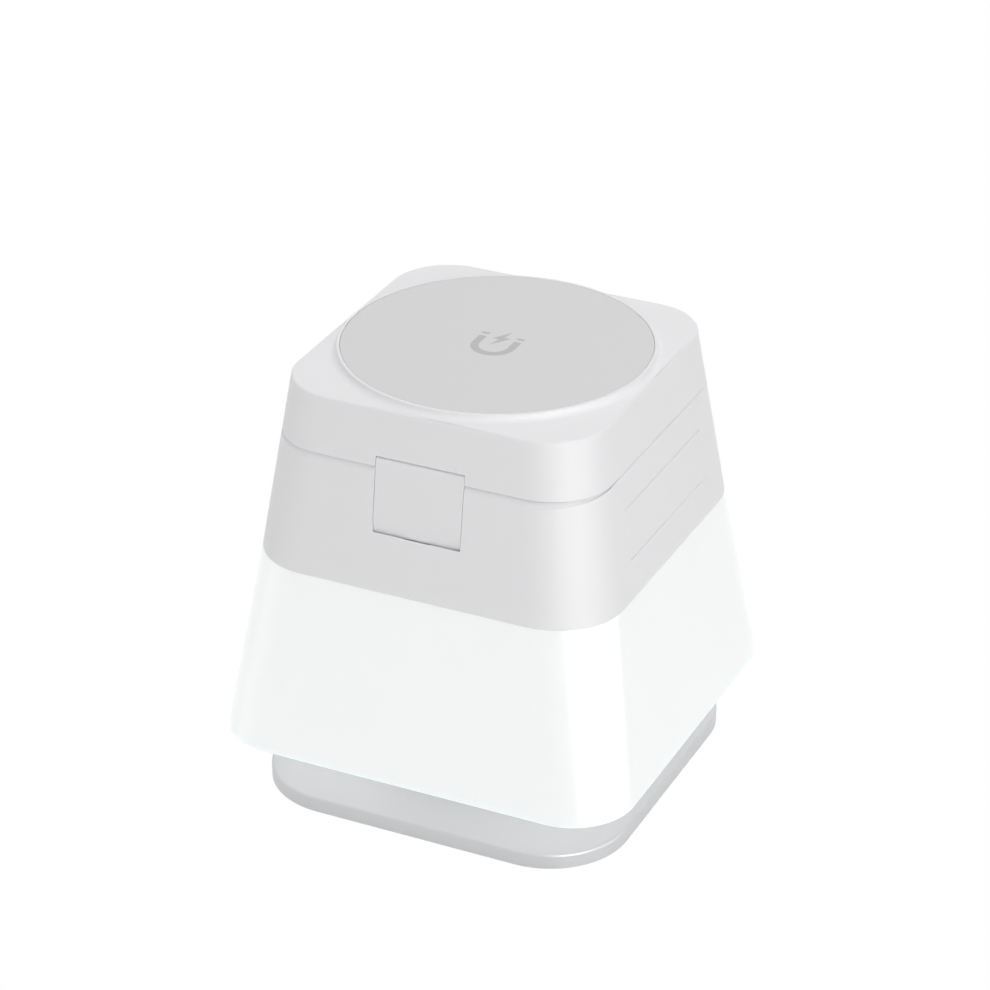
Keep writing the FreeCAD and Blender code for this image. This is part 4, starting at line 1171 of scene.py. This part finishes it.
class STATION_OT_stage(StationOperator):
    """Floor, soft studio lights, white surroundings and camera"""

    bl_idname = "station.stage"
    bl_label = "Stage"

    # Name, azimuth from the front, distance, height, width, tallness, height aimed at, watts
    SOFT_BOXES = (
        ("left_box", -80, 0.8, 0.36, 0.3, 0.7, 0.2, 0.5),
        ("front_box", -10, 0.9, 0.45, 0.5, 0.5, 0.045, 0.62),
        ("right_box", 55, 0.6, 0.31, 0.25, 0.6, 0.15, 0.68),
        ("top_box", 0, 0.001, 1.1, 0.8, 0.8, 0.045, 4.0),
        ("back_box", 180, 0.8, 0.6, 0.6, 0.6, 0.045, 1.3),
    )
    SHINE_STRIPS = (
        ("left_strip", -70, 0.6, 0.05, 0.3, 0.7, 0.05, 0.6),
        ("right_strip", 52, 0.6, 0.05, 0.12, 0.7, 0.05, 26.0),
        ("side_strip", 85, 0.6, 0.05, 0.2, 0.7, 0.05, 3.5),
        ("rear_strip", 112, 0.6, 0.05, 0.25, 0.7, 0.05, 3.0),
    )

    CAMERA_PLACE = (0.2488, -0.5284, 0.3703)

    def execute(self, context):
        self.add_floor()
        self.add_lights()
        self.add_surroundings(context.scene)
        self.add_camera(context.scene)
        context.scene.view_settings.view_transform = "Standard"
        return {"FINISHED"}

    def add_floor(self):
        """White paper, which the camera sees at plain white."""
        width = 6.0
        floor = new_mesh("studio_floor")
        bpy.ops.mesh.primitive_plane_add(size=width, location=(0, 0, 0))
        close_mesh(floor)
        material, tree, _ = new_material("studio_floor")
        rays = add_node(tree, "ShaderNodeLightPath")
        paper = add_node(tree, "ShaderNodeBsdfDiffuse", {"Color": tuple(colours().floor)})
        glow = add_node(tree, "ShaderNodeEmission", {"Color": (1, 1, 1, 1), "Strength": 1.0})
        mix = add_node(tree, "ShaderNodeMixShader", {
            0: rays.outputs["Is Camera Ray"], 1: paper.outputs["BSDF"], 2: glow.outputs["Emission"]})
        add_node(tree, "ShaderNodeOutputMaterial", {"Surface": mix.outputs["Shader"]})
        floor.data.materials.append(material)
        floor.visible_glossy = False

    def add_lights(self):
        """Soft boxes light the object; the strips show only as shine on its rounded corners."""
        for settings in self.SOFT_BOXES:
            self.add_lamp(*settings)
        for settings in self.SHINE_STRIPS:
            self.add_lamp(*settings).visible_diffuse = False

    def add_lamp(self, name, azimuth, distance, height, width, tallness, aim, power):
        """An oblong lamp that faces the object's axis."""
        data = bpy.data.lights.new(name, "AREA")
        data.shape = "RECTANGLE"
        data.size = width
        data.size_y = tallness
        data.energy = power
        lamp = bpy.data.objects.new(name, data)
        turn = math.radians(azimuth)
        lamp.location = (distance * math.sin(turn), -distance * math.cos(turn), height)
        toward = Vector((0, 0, aim)) - lamp.location
        lamp.rotation_euler = toward.to_track_quat("-Z", "Y").to_euler()
        lamp.visible_camera = False
        bpy.context.scene.collection.objects.link(lamp)
        return lamp

    def add_surroundings(self, scene):
        """White where it is seen or mirrored, dimmer where it lights the object."""
        world = bpy.data.worlds.new("studio")
        world.use_nodes = True
        tree = world.node_tree
        tree.nodes.clear()
        rays = add_node(tree, "ShaderNodeLightPath")
        seen = add_node(tree, "ShaderNodeMath", {
            0: rays.outputs["Is Camera Ray"], 1: rays.outputs["Is Glossy Ray"]}, operation="MAXIMUM")
        seen = add_node(tree, "ShaderNodeMath", {
            0: seen.outputs["Value"], 1: rays.outputs["Is Transmission Ray"]}, operation="MAXIMUM")
        strength = add_node(tree, "ShaderNodeMapRange", {
            "Value": seen.outputs["Value"], "To Min": 0.4, "To Max": 1.0})
        background = add_node(tree, "ShaderNodeBackground", {
            "Color": (1, 1, 1, 1), "Strength": strength.outputs["Result"]})
        add_node(tree, "ShaderNodeOutputWorld", {"Surface": background.outputs["Background"]})
        scene.world = world

    def add_camera(self, scene):
        """The photo's view; the lens is off the object's axis, so the camera has a place and a turn."""
        azimuth, elevation = math.radians(25.252), math.radians(28.333)
        back = Vector((math.sin(azimuth) * math.cos(elevation), -math.cos(azimuth) * math.cos(elevation),
                       math.sin(elevation)))
        right = Vector((math.cos(azimuth), math.sin(azimuth), 0))
        up = back.cross(right)
        data = bpy.data.cameras.new("photo_view")
        data.sensor_width = 36
        data.lens = 127.99
        data.clip_start = 0.01
        data.clip_end = 20
        camera = bpy.data.objects.new("photo_view", data)
        turn = Matrix((right, up, back)).transposed().to_4x4()
        camera.matrix_world = Matrix.Translation(self.CAMERA_PLACE) @ turn
        scene.collection.objects.link(camera)
        scene.camera = camera


OPERATORS = (
    STATION_OT_foot,
    STATION_OT_base,
    STATION_OT_neck,
    STATION_OT_shade,
    STATION_OT_body,
    STATION_OT_deck,
    STATION_OT_link,
    STATION_OT_lid,
    STATION_OT_charging_pad,
    STATION_OT_drawer,
    STATION_OT_button,
    STATION_OT_inlet,
    STATION_OT_inner_finishes,
    STATION_OT_stage,
)


class STATION_PT_sidebar(bpy.types.Panel):
    """Sizes, colours and operators of the charging station"""

    bl_idname = "STATION_PT_sidebar"
    bl_label = "Charging station"
    bl_space_type = "VIEW_3D"
    bl_region_type = "UI"
    bl_category = "Station"

    def draw(self, context):
        layout = self.layout
        for group in (context.scene.station_sizes, context.scene.station_colours):
            column = layout.column(align=True)
            for name in group.__annotations__:
                column.prop(group, name)
        column = layout.column(align=True)
        for operator in OPERATORS:
            column.operator(operator.bl_idname)


CLASSES = (StationSizes, StationColours, *OPERATORS, STATION_PT_sidebar)


def register():
    for item in CLASSES:
        bpy.utils.register_class(item)
    bpy.types.Scene.station_sizes = PointerProperty(type=StationSizes)
    bpy.types.Scene.station_colours = PointerProperty(type=StationColours)


def unregister():
    del bpy.types.Scene.station_colours
    del bpy.types.Scene.station_sizes
    for item in reversed(CLASSES):
        bpy.utils.unregister_class(item)


def main():
    """Registers the classes and runs the operators in order."""
    register()
    for operator in OPERATORS:
        group, name = operator.bl_idname.split(".")
        getattr(getattr(bpy.ops, group), name)()


if __name__ == "__main__":
    main()
